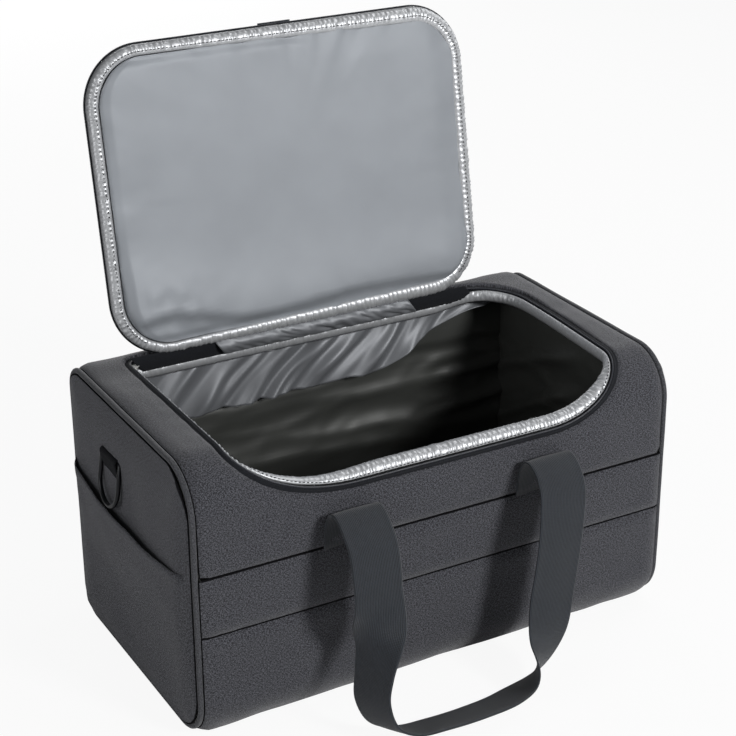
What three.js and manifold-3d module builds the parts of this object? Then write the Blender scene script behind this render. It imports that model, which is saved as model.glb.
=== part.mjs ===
// Soft insulated cooler bag with its lid open, in millimetres.
// X runs along the bag, -Y is the front, +Z is up, and the origin is the centre of the base.
import * as THREE from 'three';
import { mergeVertices } from 'three/addons/utils/BufferGeometryUtils.js';
import Module from 'manifold-3d';

const wasm = await Module();
wasm.setup();

// Overall size of the closed body
const bodyLength = 520;
const bodyDepth = 290;
const bodyHeight = 280;
const frontTopRadius = 48;
const backTopRadius = 28;
const backBottomRadius = 30;
const frontBottomRadius = 45;

// Materials' thicknesses and the gap that sewn layers keep
const clothThickness = 2;
const tapeThickness = 0.8;
const foamThickness = 5.4;
const linerThickness = 1;
const boardThickness = 3;
const webbingThickness = 2;
const layerGap = 0.3;
const seamGap = 0.5;

// Seams of the wrap, measured down from the top and in from the front and back of the base
const frontSeamDrop = 105;
const frontSeamSpacing = 60;
const backSeamDrop = 30;
const baseFrontInset = 47;
const baseBackInset = 32;

// Piping round the two ends, and the slip pocket on each
const pipingRadius = 2.75;
const pipingSink = 0.1;
const pocketThickness = 1.6;
const pocketDrop = 99;
const pocketScoop = 12;
const pocketScoopCentre = -15;
const pocketBulge = 2.3;

// Mouth: the line where the two halves of the zip meet, in the surface of the wrap
const mouthSideInset = 50;
const mouthRearInset = 35;
const mouthFrontDrop = 51;
const mouthCornerRadius = 60;
const mouthClothEdge = 8;
const mouthFoamEdge = 14;
const mouthLinerEdge = 2;
const rimBandTop = 5.8;
const rimBandDepth = 22;
const rimBandThickness = 0.8;

// Liner: the tub is cut larger than the bag, so its walls lie in long folds and its ends hang free
const linerFoldDepth = 9;
const linerFoldCount = 3;
const linerFoldStep = 8;
const linerEndSlack = 6;

// Zip: the two rows of coil stand off the meeting line, and each has its tape
const zipHalfGap = 0.9;
const coilRadius = 0.95;
const tapeWidth = 12;
const hingeEndInset = 51;
const lidZipSetBack = 20;

// Lid: flat to the front round, one bend panel, then the lip that hangs down the front
const lidOpenAngle = 100;
const hingeSetBack = 3;
const hingeRise = 3.5;
const lidTapeEdge = 8;
const lidCoverEdge = 6;
const lidBandEdge = 8.8;
const lidFoamEdge = 10;
const lidFrontTrim = 0.6;
const lidCornerTrim = 3;
const foldDepth = 5;
const pullTabWidth = 35;
const pullTabLength = 24;
const pullTabOverhang = 7;

// Fabric hinge: two leaves that meet at the axis
const leafHalf = 0.5;
const leafEnd = 0.1;
const lidLeafWidth = 19;

// Handles: 50 mm webbing, sewn in at the high seam, over a crest and down to the floor
const webbingWidth = 50;
const handleHalfSpacing = 105;
const handleSeamReach = 1.4;
const handleCrestReach = 35.6;
const handleCrestRise = 32;
const handleUpward = 42;
const handleDownward = 24;
const handleHeading = 224;
const handleHangReach = 61;
const legSettle = 12;
const legSway = 4;
const loopCornerHeight = 31;
const loopCornerRun = 42;
const loopFloorHeight = 2.6;
const loopFloorReach = 7;
const twistFrom = 0.1;
const twistTo = 0.36;

// Rings on the ends
const ringCentre = 28;
const ringTabWidth = 38;
const ringWire = 4.5;
const ringBarDrop = 54;
const ringDrop = 50;
const ringTilt = 8;
const ringTabLength = 76;
const ringTabThickness = 1.8;
const ringTabFold = 24;
const ringCorner = 3;

// Zip sliders and their pulls
const sliderLength = 12;
const sliderWidth = 9;
const sliderPlate = 2;
const sliderSetBack = 13;
const bridgeSpan = 7.2;
const bridgeBar = 1.2;
const pullLength = 28;
const pullWidth = 8;
const pullThickness = 1.6;
const pullPlay = 0.4;
const pullRound = 3;
const pullEyeLength = 5.4;
const pullSetBack = 1;

// Places that follow from the sizes above
const halfLength = bodyLength / 2;
const halfDepth = bodyDepth / 2;
const frontSeamHigh = bodyHeight - frontSeamDrop;
const frontSeamLow = frontSeamHigh - frontSeamSpacing;
const backSeamHigh = bodyHeight - backSeamDrop;
const mouthHalfLength = halfLength - mouthSideInset;
const mouthRear = halfDepth - mouthRearInset;
const mouthFrontHeight = bodyHeight - mouthFrontDrop;
const hingeHalfLength = mouthHalfLength - mouthCornerRadius - hingeEndInset;
const lidZipStart = hingeHalfLength + lidZipSetBack;
const sliderPark = hingeHalfLength + sliderSetBack;
const hingeRear = mouthRear + hingeSetBack;
const ringBarHeight = bodyHeight - ringBarDrop;
const ringTabBottom = ringBarHeight - ringTabLength;

const arcStep = THREE.MathUtils.degToRad(9);
const cornerStep = THREE.MathUtils.degToRad(7.5);

// Materials
function finish(color, roughness, metalness = 0) {
  return () => new THREE.MeshStandardMaterial({ color, roughness, metalness });
}
const outerCloth = finish(0x4e4f54, 0.95);
const pocketCloth = finish(0x53545a, 0.95);
const pipingCloth = finish(0x46474c, 0.9);
const webbing = finish(0x343b45, 0.75);
const lidLining = finish(0x989ca2, 0.35, 0.2);
const silverLining = finish(0xb4b7bb, 0.25, 0.5);
const tubLining = finish(0x3c3d3b, 0.3, 0.2);
const zipCloth = finish(0x1b1c22, 0.85);
const foam = finish(0xe6e6e2, 0.9);
const board = finish(0x2b2b2d, 0.6);
const darkMetal = finish(0x26282c, 0.35, 0.85);

// Makes one closed body from points and triangles, with its faces pointing out
function closedBody(points, triangles) {
  let volume = 0;
  for (const [a, b, c] of triangles) {
    const cross = new THREE.Vector3().crossVectors(points[b], points[c]);
    volume += points[a].dot(cross);
  }
  const index = triangles.flatMap(([a, b, c]) => (volume > 0 ? [a, b, c] : [a, c, b]));
  const geometry = new THREE.BufferGeometry();
  geometry.setAttribute('position', new THREE.Float32BufferAttribute(
    points.flatMap((p) => [p.x, p.y, p.z]), 3));
  geometry.setIndex(index);
  return geometry;
}

// Joins rings of points into a body: each ring holds the section's corners at one station
function loft(rings, section, closedPath = false) {
  const count = section.length;
  const triangles = [];
  const last = closedPath ? rings.length : rings.length - 1;
  for (let i = 0; i < last; i += 1) {
    const next = (i + 1) % rings.length;
    for (let j = 0; j < count; j += 1) {
      const k = (j + 1) % count;
      triangles.push([i * count + j, i * count + k, next * count + k]);
      triangles.push([i * count + j, next * count + k, next * count + j]);
    }
  }
  if (!closedPath) {
    const contour = section.map(([a, b]) => new THREE.Vector2(a, b));
    const clockwise = THREE.ShapeUtils.isClockWise(contour);
    const end = (rings.length - 1) * count;
    for (const [a, b, c] of THREE.ShapeUtils.triangulateShape(contour, [])) {
      const face = clockwise ? [a, b, c] : [a, c, b];
      triangles.push(face);
      triangles.push([end + face[0], end + face[2], end + face[1]]);
    }
  }
  return closedBody(rings.flat(), triangles);
}

// Gives a body between two sheets of points, each a grid of rows and columns
function sheetBody(outer, inner) {
  const rows = outer.length;
  const columns = outer[0].length;
  const points = [...outer.flat(), ...inner.flat()];
  const at = (sheet, i, j) => sheet * rows * columns + i * columns + j;
  const triangles = [];
  for (let i = 0; i < rows - 1; i += 1) {
    for (let j = 0; j < columns - 1; j += 1) {
      const [a, b, c, d] = [at(0, i, j), at(0, i, j + 1), at(0, i + 1, j + 1), at(0, i + 1, j)];
      const [e, f, g, h] = [at(1, i, j), at(1, i, j + 1), at(1, i + 1, j + 1), at(1, i + 1, j)];
      triangles.push([a, b, c], [a, c, d], [e, g, f], [e, h, g]);
    }
  }
  const rim = [];
  for (let j = 0; j < columns - 1; j += 1) rim.push([0, j]);
  for (let i = 0; i < rows - 1; i += 1) rim.push([i, columns - 1]);
  for (let j = columns - 1; j > 0; j -= 1) rim.push([rows - 1, j]);
  for (let i = rows - 1; i > 0; i -= 1) rim.push([i, 0]);
  rim.forEach(([i, j], k) => {
    const [m, n] = rim[(k + 1) % rim.length];
    triangles.push([at(0, i, j), at(1, m, n), at(0, m, n)]);
    triangles.push([at(0, i, j), at(1, i, j), at(1, m, n)]);
  });
  return closedBody(points, triangles);
}

// Reads a geometry into a solid for cutting, and a solid back into a geometry
function solidOf(geometry) {
  const bare = geometry.clone();
  bare.deleteAttribute('normal');
  bare.deleteAttribute('uv');
  const merged = mergeVertices(bare, 1e-4);
  return new wasm.Manifold(new wasm.Mesh({
    numProp: 3,
    vertProperties: new Float32Array(merged.attributes.position.array),
    triVerts: new Uint32Array(merged.index.array),
  }));
}
function geometryOf(solid) {
  const mesh = solid.getMesh();
  const geometry = new THREE.BufferGeometry();
  geometry.setAttribute('position', new THREE.Float32BufferAttribute(mesh.vertProperties, 3));
  geometry.setIndex(Array.from(mesh.triVerts));
  return geometry;
}

// Profile of the bag in the YZ plane, walked from the back of the top flat towards the front
const quarter = Math.PI / 2;
const profilePieces = [
  { from: [halfDepth - backTopRadius, bodyHeight], heading: Math.PI,
    length: bodyDepth - frontTopRadius - backTopRadius },
  { centre: [frontTopRadius - halfDepth, bodyHeight - frontTopRadius], radius: frontTopRadius,
    start: quarter },
  { from: [-halfDepth, bodyHeight - frontTopRadius], heading: -quarter,
    length: bodyHeight - frontTopRadius - frontBottomRadius },
  { centre: [frontBottomRadius - halfDepth, frontBottomRadius], radius: frontBottomRadius,
    start: Math.PI },
  { from: [frontBottomRadius - halfDepth, 0], heading: 0,
    length: bodyDepth - frontBottomRadius - backBottomRadius },
  { centre: [halfDepth - backBottomRadius, backBottomRadius], radius: backBottomRadius,
    start: -quarter },
  { from: [halfDepth, backBottomRadius], heading: quarter,
    length: bodyHeight - backBottomRadius - backTopRadius },
  { centre: [halfDepth - backTopRadius, bodyHeight - backTopRadius], radius: backTopRadius,
    start: 0 },
];
let walked = 0;
for (const piece of profilePieces) {
  piece.length ??= piece.radius * quarter;
  piece.begin = walked;
  walked += piece.length;
}
const profileLength = walked;

// Point of the profile at a distance along it, sunk to a depth below the surface
function profileAt(distance, depth) {
  const s = ((distance % profileLength) + profileLength) % profileLength;
  const piece = profilePieces.findLast((p) => s >= p.begin);
  const along = s - piece.begin;
  if (piece.radius) {
    const angle = piece.start + along / piece.radius;
    const reach = piece.radius - depth;
    return [piece.centre[0] + reach * Math.cos(angle), piece.centre[1] + reach * Math.sin(angle)];
  }
  const [dy, dz] = [Math.cos(piece.heading), Math.sin(piece.heading)];
  return [piece.from[0] + dy * along - dz * depth, piece.from[1] + dz * along + dy * depth];
}

// Distances where the profile needs a point, between two distances along it
function profileStations(from, to) {
  const stations = [from];
  for (let turn = -1; turn <= 1; turn += 1) {
    for (const piece of profilePieces) {
      const steps = piece.radius ? Math.round(quarter / arcStep) : 1;
      for (let k = 0; k < steps; k += 1) {
        stations.push(turn * profileLength + piece.begin + (piece.length * k) / steps);
      }
    }
  }
  stations.push(to);
  const inside = stations.filter((s) => s >= from && s <= to).sort((a, b) => a - b);
  return inside.filter((s, i) => i === 0 || s - inside[i - 1] > 1e-3);
}

const frontFace = profilePieces[2];
const baseFace = profilePieces[4];
const backFace = profilePieces[6];
const onTop = (y) => halfDepth - backTopRadius - y;
const onFront = (z) => frontFace.begin + bodyHeight - frontTopRadius - z;
const onBase = (y) => baseFace.begin + y - (frontBottomRadius - halfDepth);
const onBack = (z) => backFace.begin + z - backBottomRadius;

// Turns a drawing of (y, z) corners into a body along X
const yzToWorld = new THREE.Matrix4().makeBasis(
  new THREE.Vector3(0, 1, 0), new THREE.Vector3(0, 0, 1), new THREE.Vector3(1, 0, 0));
function alongX(corners, fromX, toX) {
  const shape = new THREE.Shape(corners.map(([y, z]) => new THREE.Vector2(y, z)));
  const geometry = new THREE.ExtrudeGeometry(shape, { depth: toX - fromX, bevelEnabled: false });
  geometry.applyMatrix4(yzToWorld);
  geometry.translate(fromX, 0, 0);
  return geometry;
}

// A layer of the wrap between two distances and two depths
function wrapLayer(from, to, depth, thickness, halfLength) {
  const stations = profileStations(from, to);
  const outer = stations.map((s) => profileAt(s, depth));
  const inner = stations.map((s) => profileAt(s, depth + thickness)).reverse();
  return alongX([...outer, ...inner], -halfLength, halfLength);
}

// The whole profile sunk to a depth, as a disc or block
function profileBlock(depth, fromX, toX) {
  const stations = profileStations(0, profileLength).slice(0, -1);
  return alongX(stations.map((s) => profileAt(s, depth)), fromX, toX);
}

// Outline of the mouth in the unrolled surface, offset outwards from the meeting line.
// It starts and ends at the rear, half way along, and runs round by -X, the front and +X.
const mouthRearAt = onTop(mouthRear);
const mouthFrontAt = onFront(mouthFrontHeight);
function roundedOutline(halfLength, rear, front, radius, offset, step, sideStations) {
  const reach = radius + offset;
  const [left, right] = [-halfLength + radius, halfLength - radius];
  const [back, fore] = [rear + radius, front - radius];
  const corner = (cx, cs, start) => {
    const steps = Math.round(quarter / step);
    return Array.from({ length: steps + 1 }, (_, k) => {
      const angle = start - (quarter * k) / steps;
      return [cx + reach * Math.cos(angle), cs + reach * Math.sin(angle)];
    });
  };
  const between = sideStations.filter((s) => s > back + 1 && s < fore - 1);
  return [
    ...corner(left, back, -quarter),
    ...between.map((s) => [-halfLength - offset, s]),
    ...corner(left, fore, Math.PI),
    ...corner(right, fore, quarter),
    ...between.slice().reverse().map((s) => [halfLength + offset, s]),
    ...corner(right, back, 0),
  ];
}
const bendStations = profileStations(mouthRearAt, mouthFrontAt);
function mouthOutline(offset) {
  return roundedOutline(mouthHalfLength, mouthRearAt, mouthFrontAt, mouthCornerRadius, offset,
    cornerStep, bendStations);
}

// The mouth faces up and forwards, so a prism along that slope cuts it through one layer
const slope = Math.SQRT1_2;
const slopeToWorld = new THREE.Matrix4().makeBasis(
  new THREE.Vector3(1, 0, 0), new THREE.Vector3(0, slope, slope), new THREE.Vector3(0, -slope, slope));
function mouthCutter(offset, depth) {
  const corners = mouthOutline(offset).map(([x, s]) => {
    const [y, z] = profileAt(s, depth);
    return new THREE.Vector2(x, (y + z) * slope);
  });
  const reach = bodyHeight + bodyDepth;
  const geometry = new THREE.ExtrudeGeometry(new THREE.Shape(corners), {
    depth: reach, bevelEnabled: false });
  geometry.translate(0, 0, (bodyHeight - mouthRear) * slope - mouthCornerRadius / 4);
  geometry.applyMatrix4(slopeToWorld);
  return geometry;
}
function cutMouth(geometry, offset, depth) {
  return geometryOf(solidOf(geometry).subtract(solidOf(mouthCutter(offset, depth))));
}

// A band that follows the mouth: its section is drawn as (offset, depth) corners
function mouthBand(section, closedPath) {
  const outlines = section.map(([offset]) => mouthOutline(offset));
  const ring = (pick) => section.map(([, depth], j) => {
    const [x, s] = pick(outlines[j]);
    const [y, z] = profileAt(s, depth);
    return new THREE.Vector3(x, y, z);
  });
  const count = outlines[0].length;
  const rings = Array.from({ length: count }, (_, i) => ring((outline) => outline[i]));
  if (closedPath) return loft(rings, section, true);
  const endAt = (sign) => ring((outline) => [sign * hingeHalfLength, outline[0][1]]);
  return loft([endAt(-1), ...rings, endAt(1)], section);
}

// Drawing of a round section with its centre at (offset, depth)
function roundSection(offset, depth, radius, sides) {
  return Array.from({ length: sides }, (_, k) => {
    const angle = (2 * Math.PI * (k + 0.5)) / sides;
    return [offset + radius * Math.cos(angle), depth + radius * Math.sin(angle)];
  });
}
const boxSection = (a0, b0, a1, b1) => [[a0, b0], [a1, b0], [a1, b1], [a0, b1]];

const bag = new THREE.Group();
function add(name, geometry, material, parent = bag) {
  const mesh = new THREE.Mesh(geometry, material());
  mesh.name = name;
  parent.add(mesh);
  return mesh;
}

// End panels, the piping that binds them, and the foam behind them
const endInset = 2 * pipingRadius + pipingSink + layerGap;
const wrapHalfLength = halfLength - endInset;
const tapeDepth = clothThickness + layerGap;
const foamDepth = tapeDepth + tapeThickness + layerGap;
const linerDepth = foamDepth + foamThickness + seamGap;
const foamEndOuter = halfLength - clothThickness - layerGap;
const foamEndInner = foamEndOuter - foamThickness;
const foamHalfLength = foamEndInner - layerGap;
const linerHalfLength = foamHalfLength - layerGap - linerEndSlack;

function piping(side) {
  const depth = pipingRadius + pipingSink;
  const section = roundSection(0, depth, pipingRadius, 8);
  const stations = profileStations(0, profileLength).slice(0, -1);
  const rings = stations.map((s) => section.map(([offset, sunk]) => {
    const [y, z] = profileAt(s, sunk);
    return new THREE.Vector3(side * (halfLength - depth + offset), y, z);
  }));
  return loft(rings, section, true);
}

// Slip pocket: a slack sheet on the end panel with a scooped top edge
const pocketInset = endInset + layerGap;
function pocketFoot(y) {
  const [front, back] = [frontBottomRadius - halfDepth, halfDepth - backBottomRadius];
  const [centre, radius] = y < front ? [front, frontBottomRadius] : [back, backBottomRadius];
  if (y >= front && y <= back) return pocketInset;
  const reach = radius - pocketInset;
  return radius - Math.sqrt(Math.max(0, reach ** 2 - (y - centre) ** 2));
}
function pocketTop(y) {
  const spread = (y - pocketScoopCentre) / (halfDepth - pocketScoopCentre);
  return bodyHeight - pocketDrop - pocketScoop * (1 - spread ** 2);
}
function sidePocket(side) {
  const [columns, rows] = [14, 6];
  const half = halfDepth - pocketInset;
  const grid = (thickness) => Array.from({ length: rows + 1 }, (_, i) => (
    Array.from({ length: columns + 1 }, (_, j) => {
      const y = -half * Math.cos((Math.PI * j) / columns);
      const share = i / rows;
      const z = THREE.MathUtils.lerp(pocketFoot(y), pocketTop(y), share);
      const slack = pocketBulge * (1 - (y / half) ** 4) * THREE.MathUtils.smoothstep(share, 0, 0.7);
      return new THREE.Vector3(side * (halfLength + layerGap + slack + thickness), y, z);
    })
  ));
  return sheetBody(grid(pocketThickness), grid(0));
}

for (const [word, side] of [['left', -1], ['right', 1]]) {
  const slab = (inset, near, far) => profileBlock(inset, ...(side < 0 ? [-far, -near] : [near, far]));
  add(`end_panel_${word}`, slab(endInset, halfLength - clothThickness, halfLength), outerCloth);
  add(`foam_end_${word}`, slab(endInset, foamEndInner, foamEndOuter), foam);
  add(`piping_${word}`, piping(side), pipingCloth);
  add(`side_pocket_${word}`, sidePocket(side), pocketCloth);
}

// Outer wrap: the top panel holds the mouth, then the front band and the lower panels
const halfSeam = seamGap / 2;
const topFrom = onBack(backSeamHigh) - profileLength + halfSeam;
function wrapPanel(from, to) {
  return wrapLayer(from + halfSeam, to - halfSeam, 0, clothThickness, wrapHalfLength);
}
const frontFoot = onBase(baseFrontInset - halfDepth);
const backFoot = onBase(halfDepth - baseBackInset);
const topPanel = wrapPanel(topFrom - halfSeam, onFront(frontSeamHigh));
add('top_panel', cutMouth(topPanel, mouthClothEdge, 0), outerCloth);
add('front_band', wrapPanel(onFront(frontSeamHigh), onFront(frontSeamLow)), outerCloth);
add('front_lower_panel', wrapPanel(onFront(frontSeamLow), frontFoot), outerCloth);
add('bottom_panel', wrapPanel(frontFoot, backFoot), outerCloth);
add('back_panel', wrapPanel(backFoot, onBack(backSeamHigh)), outerCloth);

// Foam behind the wrap, and the stiff board in the base
function foamLayer(from, to) {
  return wrapLayer(from + halfSeam, to - halfSeam, foamDepth, foamThickness, foamHalfLength);
}
const foamTop = foamLayer(topFrom, onFront(frontSeamHigh));
const boardDepth = tapeDepth;
const baseFoamDepth = boardDepth + boardThickness + layerGap;
const baseFoamThickness = foamDepth + foamThickness - baseFoamDepth;
const baseFront = onBase(frontBottomRadius - halfDepth);
const baseBack = onBase(halfDepth - backBottomRadius);
add('foam_top', cutMouth(foamTop, mouthFoamEdge, foamDepth), foam);
add('foam_front', foamLayer(onFront(frontSeamHigh), baseFront), foam);
add('foam_back', foamLayer(baseBack, onBack(backSeamHigh)), foam);
add('foam_base', wrapLayer(baseFront + halfSeam, baseBack - halfSeam, baseFoamDepth,
  baseFoamThickness, foamHalfLength), foam);
add('base_board', wrapLayer(baseFront + halfSeam, baseBack - halfSeam, boardDepth,
  boardThickness, foamHalfLength), board);

// Liner tub: a hollow shell of the cavity's profile with folds along its two walls, open at the mouth
const foldedWalls = [[onFront(frontSeamHigh), baseFront], [baseBack, onBack(backSeamHigh)]];
function linerFold(distance) {
  const wall = foldedWalls.find(([from, to]) => distance > from && distance < to);
  if (!wall) return 0;
  const share = (distance - wall[0]) / (wall[1] - wall[0]);
  return linerFoldDepth * Math.sin(Math.PI * linerFoldCount * share) ** 2;
}
function linerBlock(depth, halfLong) {
  const stations = profileStations(0, profileLength).slice(0, -1);
  for (const [from, to] of foldedWalls) {
    const steps = Math.round((to - from) / linerFoldStep);
    for (let k = 1; k < steps; k += 1) stations.push(THREE.MathUtils.lerp(from, to, k / steps));
  }
  stations.sort((a, b) => a - b);
  return alongX(stations.map((s) => profileAt(s, depth + linerFold(s))), -halfLong, halfLong);
}
const linerOuter = solidOf(linerBlock(linerDepth, linerHalfLength));
const cavityHalfLength = linerHalfLength - linerThickness;
const cavityDepth = linerDepth + linerThickness;
const cavity = solidOf(linerBlock(cavityDepth, cavityHalfLength));
const linerMouth = solidOf(mouthCutter(mouthLinerEdge, linerDepth + linerThickness / 2));
add('liner_tub', geometryOf(linerOuter.subtract(cavity).subtract(linerMouth)), tubLining);

// Rim of the mouth: the silver band that turns in, the zip's tape and its coil
add('rim_band', mouthBand(boxSection(layerGap, rimBandTop, layerGap + rimBandThickness, rimBandDepth),
  true), silverLining);
// One half of the zip: the tape with its row of coil as a bead along the edge
const beadChamfer = coilRadius / 2;
function zipSection(width) {
  const [edge, foot] = [zipHalfGap, zipHalfGap + 2 * coilRadius];
  return [
    [edge, tapeDepth + tapeThickness],
    [width, tapeDepth + tapeThickness],
    [width, tapeDepth],
    [foot, tapeDepth],
    [foot, beadChamfer],
    [foot - beadChamfer, 0],
    [edge + beadChamfer, 0],
    [edge, beadChamfer],
  ];
}
add('zip_body', mouthBand(zipSection(zipHalfGap + tapeWidth), false), zipCloth);

// Fabric hinge, body leaf: under the cloth at the rear, then up to the axis
const hingeOffset = hingeRear - mouthRear;
const leafSection = [
  [hingeOffset - leafHalf, leafEnd - hingeRise],
  [hingeOffset + leafHalf, leafEnd - hingeRise],
  [hingeOffset + leafHalf, tapeDepth],
  [zipHalfGap + tapeWidth, tapeDepth],
  [zipHalfGap + tapeWidth, tapeDepth + tapeThickness],
  [hingeOffset - leafHalf, tapeDepth + tapeThickness],
];
const leafHalfLength = hingeHalfLength - layerGap;
const leafCorners = leafSection.map(([offset, depth]) => profileAt(mouthRearAt - offset, depth));
add('hinge_leaf_body', alongX(leafCorners, -leafHalfLength, leafHalfLength), outerCloth);

// Lid, drawn closed: s runs forwards from the hinge, depth goes down from the outer face.
// The lid's panels meet the round of the body as tangents, so it folds at two lines.
const lidRear = hingeRear - mouthRear;
const bendLead = frontTopRadius * Math.tan(Math.PI / 8);
const firstFold = hingeRear - (frontTopRadius - halfDepth) + bendLead;
const secondFold = firstFold + 2 * bendLead;
const lidFront = secondFold + (bodyHeight - frontTopRadius + bendLead - mouthFrontHeight);
const lidHinge = new THREE.Group();
lidHinge.position.set(0, hingeRear, bodyHeight + hingeRise);
lidHinge.rotation.x = -THREE.MathUtils.degToRad(lidOpenAngle);
bag.add(lidHinge);
const lidPoint = (x, s, depth) => new THREE.Vector3(x, -s, -hingeRise - depth);

// Outline of the lid, kept inside the meeting line by an inset, with a trimmed front
function lidOutline(inset) {
  return roundedOutline(mouthHalfLength, lidRear, lidFront - lidFrontTrim,
    mouthCornerRadius + lidCornerTrim, -inset, cornerStep, []);
}

// Cuts what is drawn for the whole lid down to the panel between two values of s
const lidReach = bodyLength;
function lidCut(geometry, low, high) {
  const slab = new THREE.BoxGeometry(lidReach, high - low, lidReach);
  slab.translate(0, -(low + high) / 2, 0);
  return solidOf(geometry).intersect(solidOf(slab));
}

// A flat layer of the whole lid
function lidLayer(inset, depth, thickness) {
  const corners = lidOutline(inset).map(([x, s]) => new THREE.Vector2(x, -s));
  const geometry = new THREE.ExtrudeGeometry(new THREE.Shape(corners), {
    depth: thickness, bevelEnabled: false });
  geometry.translate(0, 0, -hingeRise - depth - thickness);
  return geometry;
}

// A band round the lid, drawn as (inset, depth) corners: closed, or open across the hinge
function lidBand(section, closedPath) {
  const outlines = section.map(([inset]) => lidOutline(inset));
  const ring = (pick) => section.map(([, depth], j) => lidPoint(...pick(outlines[j]), depth));
  const rings = outlines[0].map((_, i) => ring((outline) => outline[i]));
  if (closedPath) return loft(rings, section, true);
  const endAt = (sign) => ring((outline) => [sign * lidZipStart, outline[0][1]]);
  return loft([endAt(-1), ...rings, endAt(1)], section);
}

// Each lid panel has the same layers, and every layer stops short of the fold it bends at
const liningDepth = tapeDepth + tapeThickness + layerGap + foamThickness + layerGap;
const lidFoamDepth = tapeDepth + tapeThickness + layerGap;
const foldRoom = (depth) => Math.max(0, depth - foldDepth) * Math.tan(Math.PI / 8) + halfSeam;
const sides = ['left', 'right'];
const foamEnd = lidFoamDepth + foamThickness;
const liningEnd = liningDepth + linerThickness;
const tapeEnd = tapeDepth + tapeThickness;
const lidLayers = [
  ['lid_cover', lidLayer(lidCoverEdge, 0, clothThickness), clothThickness, outerCloth],
  ['lid_foam', lidLayer(lidFoamEdge, lidFoamDepth, foamThickness), foamEnd, foam],
  ['lid_lining', lidLayer(lidTapeEdge, liningDepth, linerThickness), liningEnd, lidLining],
  ['lid_band', lidBand(boxSection(lidBandEdge, lidFoamDepth, lidBandEdge + rimBandThickness,
    foamEnd), true), foamEnd, silverLining],
  ['zip', lidBand(zipSection(lidTapeEdge), false), tapeEnd, zipCloth],
];

// Where the cut leaves a left and a right body, each is a node of its own
function lidPanel(word, low, high) {
  const panel = new THREE.Group();
  for (const [layer, geometry, deepest, material] of lidLayers) {
    const from = low > lidRear ? low + foldRoom(deepest) : low - mouthCornerRadius;
    const to = high < lidFront ? high - foldRoom(deepest) : high + mouthCornerRadius;
    const bodies = lidCut(geometry, from, to).decompose();
    const sorted = bodies.sort((a, b) => a.boundingBox().min[0] - b.boundingBox().min[0]);
    sorted.forEach((body, i) => {
      const name = sorted.length === 1 ? `${layer}_${word}` : `${layer}_${word}_${sides[i]}`;
      add(name, geometryOf(body), material, panel);
    });
  }
  lidHinge.add(panel);
  return panel;
}
lidPanel('main', lidRear, firstFold);
lidPanel('bend', firstFold, secondFold);
const lip = lidPanel('lip', secondFold, lidFront);

// Fabric hinge, lid leaf: from the axis down onto the cover
const leafStart = leafHalf + layerGap;
const leafTop = -layerGap - 2 * leafHalf;
const lidLeafCorners = [
  [leafStart, leafHalf - hingeRise],
  [lidRear + lidCoverEdge, -layerGap],
  [lidRear + lidLeafWidth, -layerGap],
  [lidRear + lidLeafWidth, leafTop],
  [lidRear + lidCoverEdge, leafTop],
  [leafStart, -leafHalf - hingeRise],
].map(([s, depth]) => [-s, -hingeRise - depth]);
add('hinge_leaf_lid', alongX(lidLeafCorners, -leafHalfLength, leafHalfLength), outerCloth, lidHinge);

// Pull tab on the lip: flat webbing sewn on the outer face, past the front edge
const pullTab = new THREE.BoxGeometry(pullTabWidth, pullTabLength, webbingThickness);
pullTab.translate(0, -(lidFront + pullTabOverhang - pullTabLength / 2),
  -hingeRise + layerGap + webbingThickness / 2);
add('lid_pull_tab', pullTab, webbing, lip);

// Handle tabs: the webbing's sewn ends, from the high seam up and over the crest
const bendPoint = [-halfDepth - handleCrestReach, frontSeamHigh + handleCrestRise];
const heading = THREE.MathUtils.degToRad(handleHeading);
const bendAlong = [Math.cos(heading), Math.sin(heading)];
const alongBend = (length) => bendPoint.map((value, i) => value + bendAlong[i] * length);
const sewnEnd = [-halfDepth - handleSeamReach, frontSeamHigh + seamGap];
const crestCurve = new THREE.CubicBezierCurve3(...[
  sewnEnd,
  [sewnEnd[0], sewnEnd[1] + handleUpward],
  alongBend(-handleDownward),
  alongBend(-layerGap / 2),
].map(([y, z]) => new THREE.Vector3(0, y, z)));
const bandSection = boxSection(-webbingWidth / 2, -webbingThickness / 2, webbingWidth / 2,
  webbingThickness / 2);
const tabCount = 14;
function handleTab(centreX, side) {
  const rings = Array.from({ length: tabCount + 1 }, (_, i) => {
    const centre = crestCurve.getPointAt(i / tabCount);
    const tangent = crestCurve.getTangentAt(i / tabCount);
    return bandSection.map(([across, through]) => new THREE.Vector3(
      centreX + across,
      -side * (centre.y - tangent.z * through),
      centre.z + tangent.y * through));
  });
  return loft(rings, bandSection);
}

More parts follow.
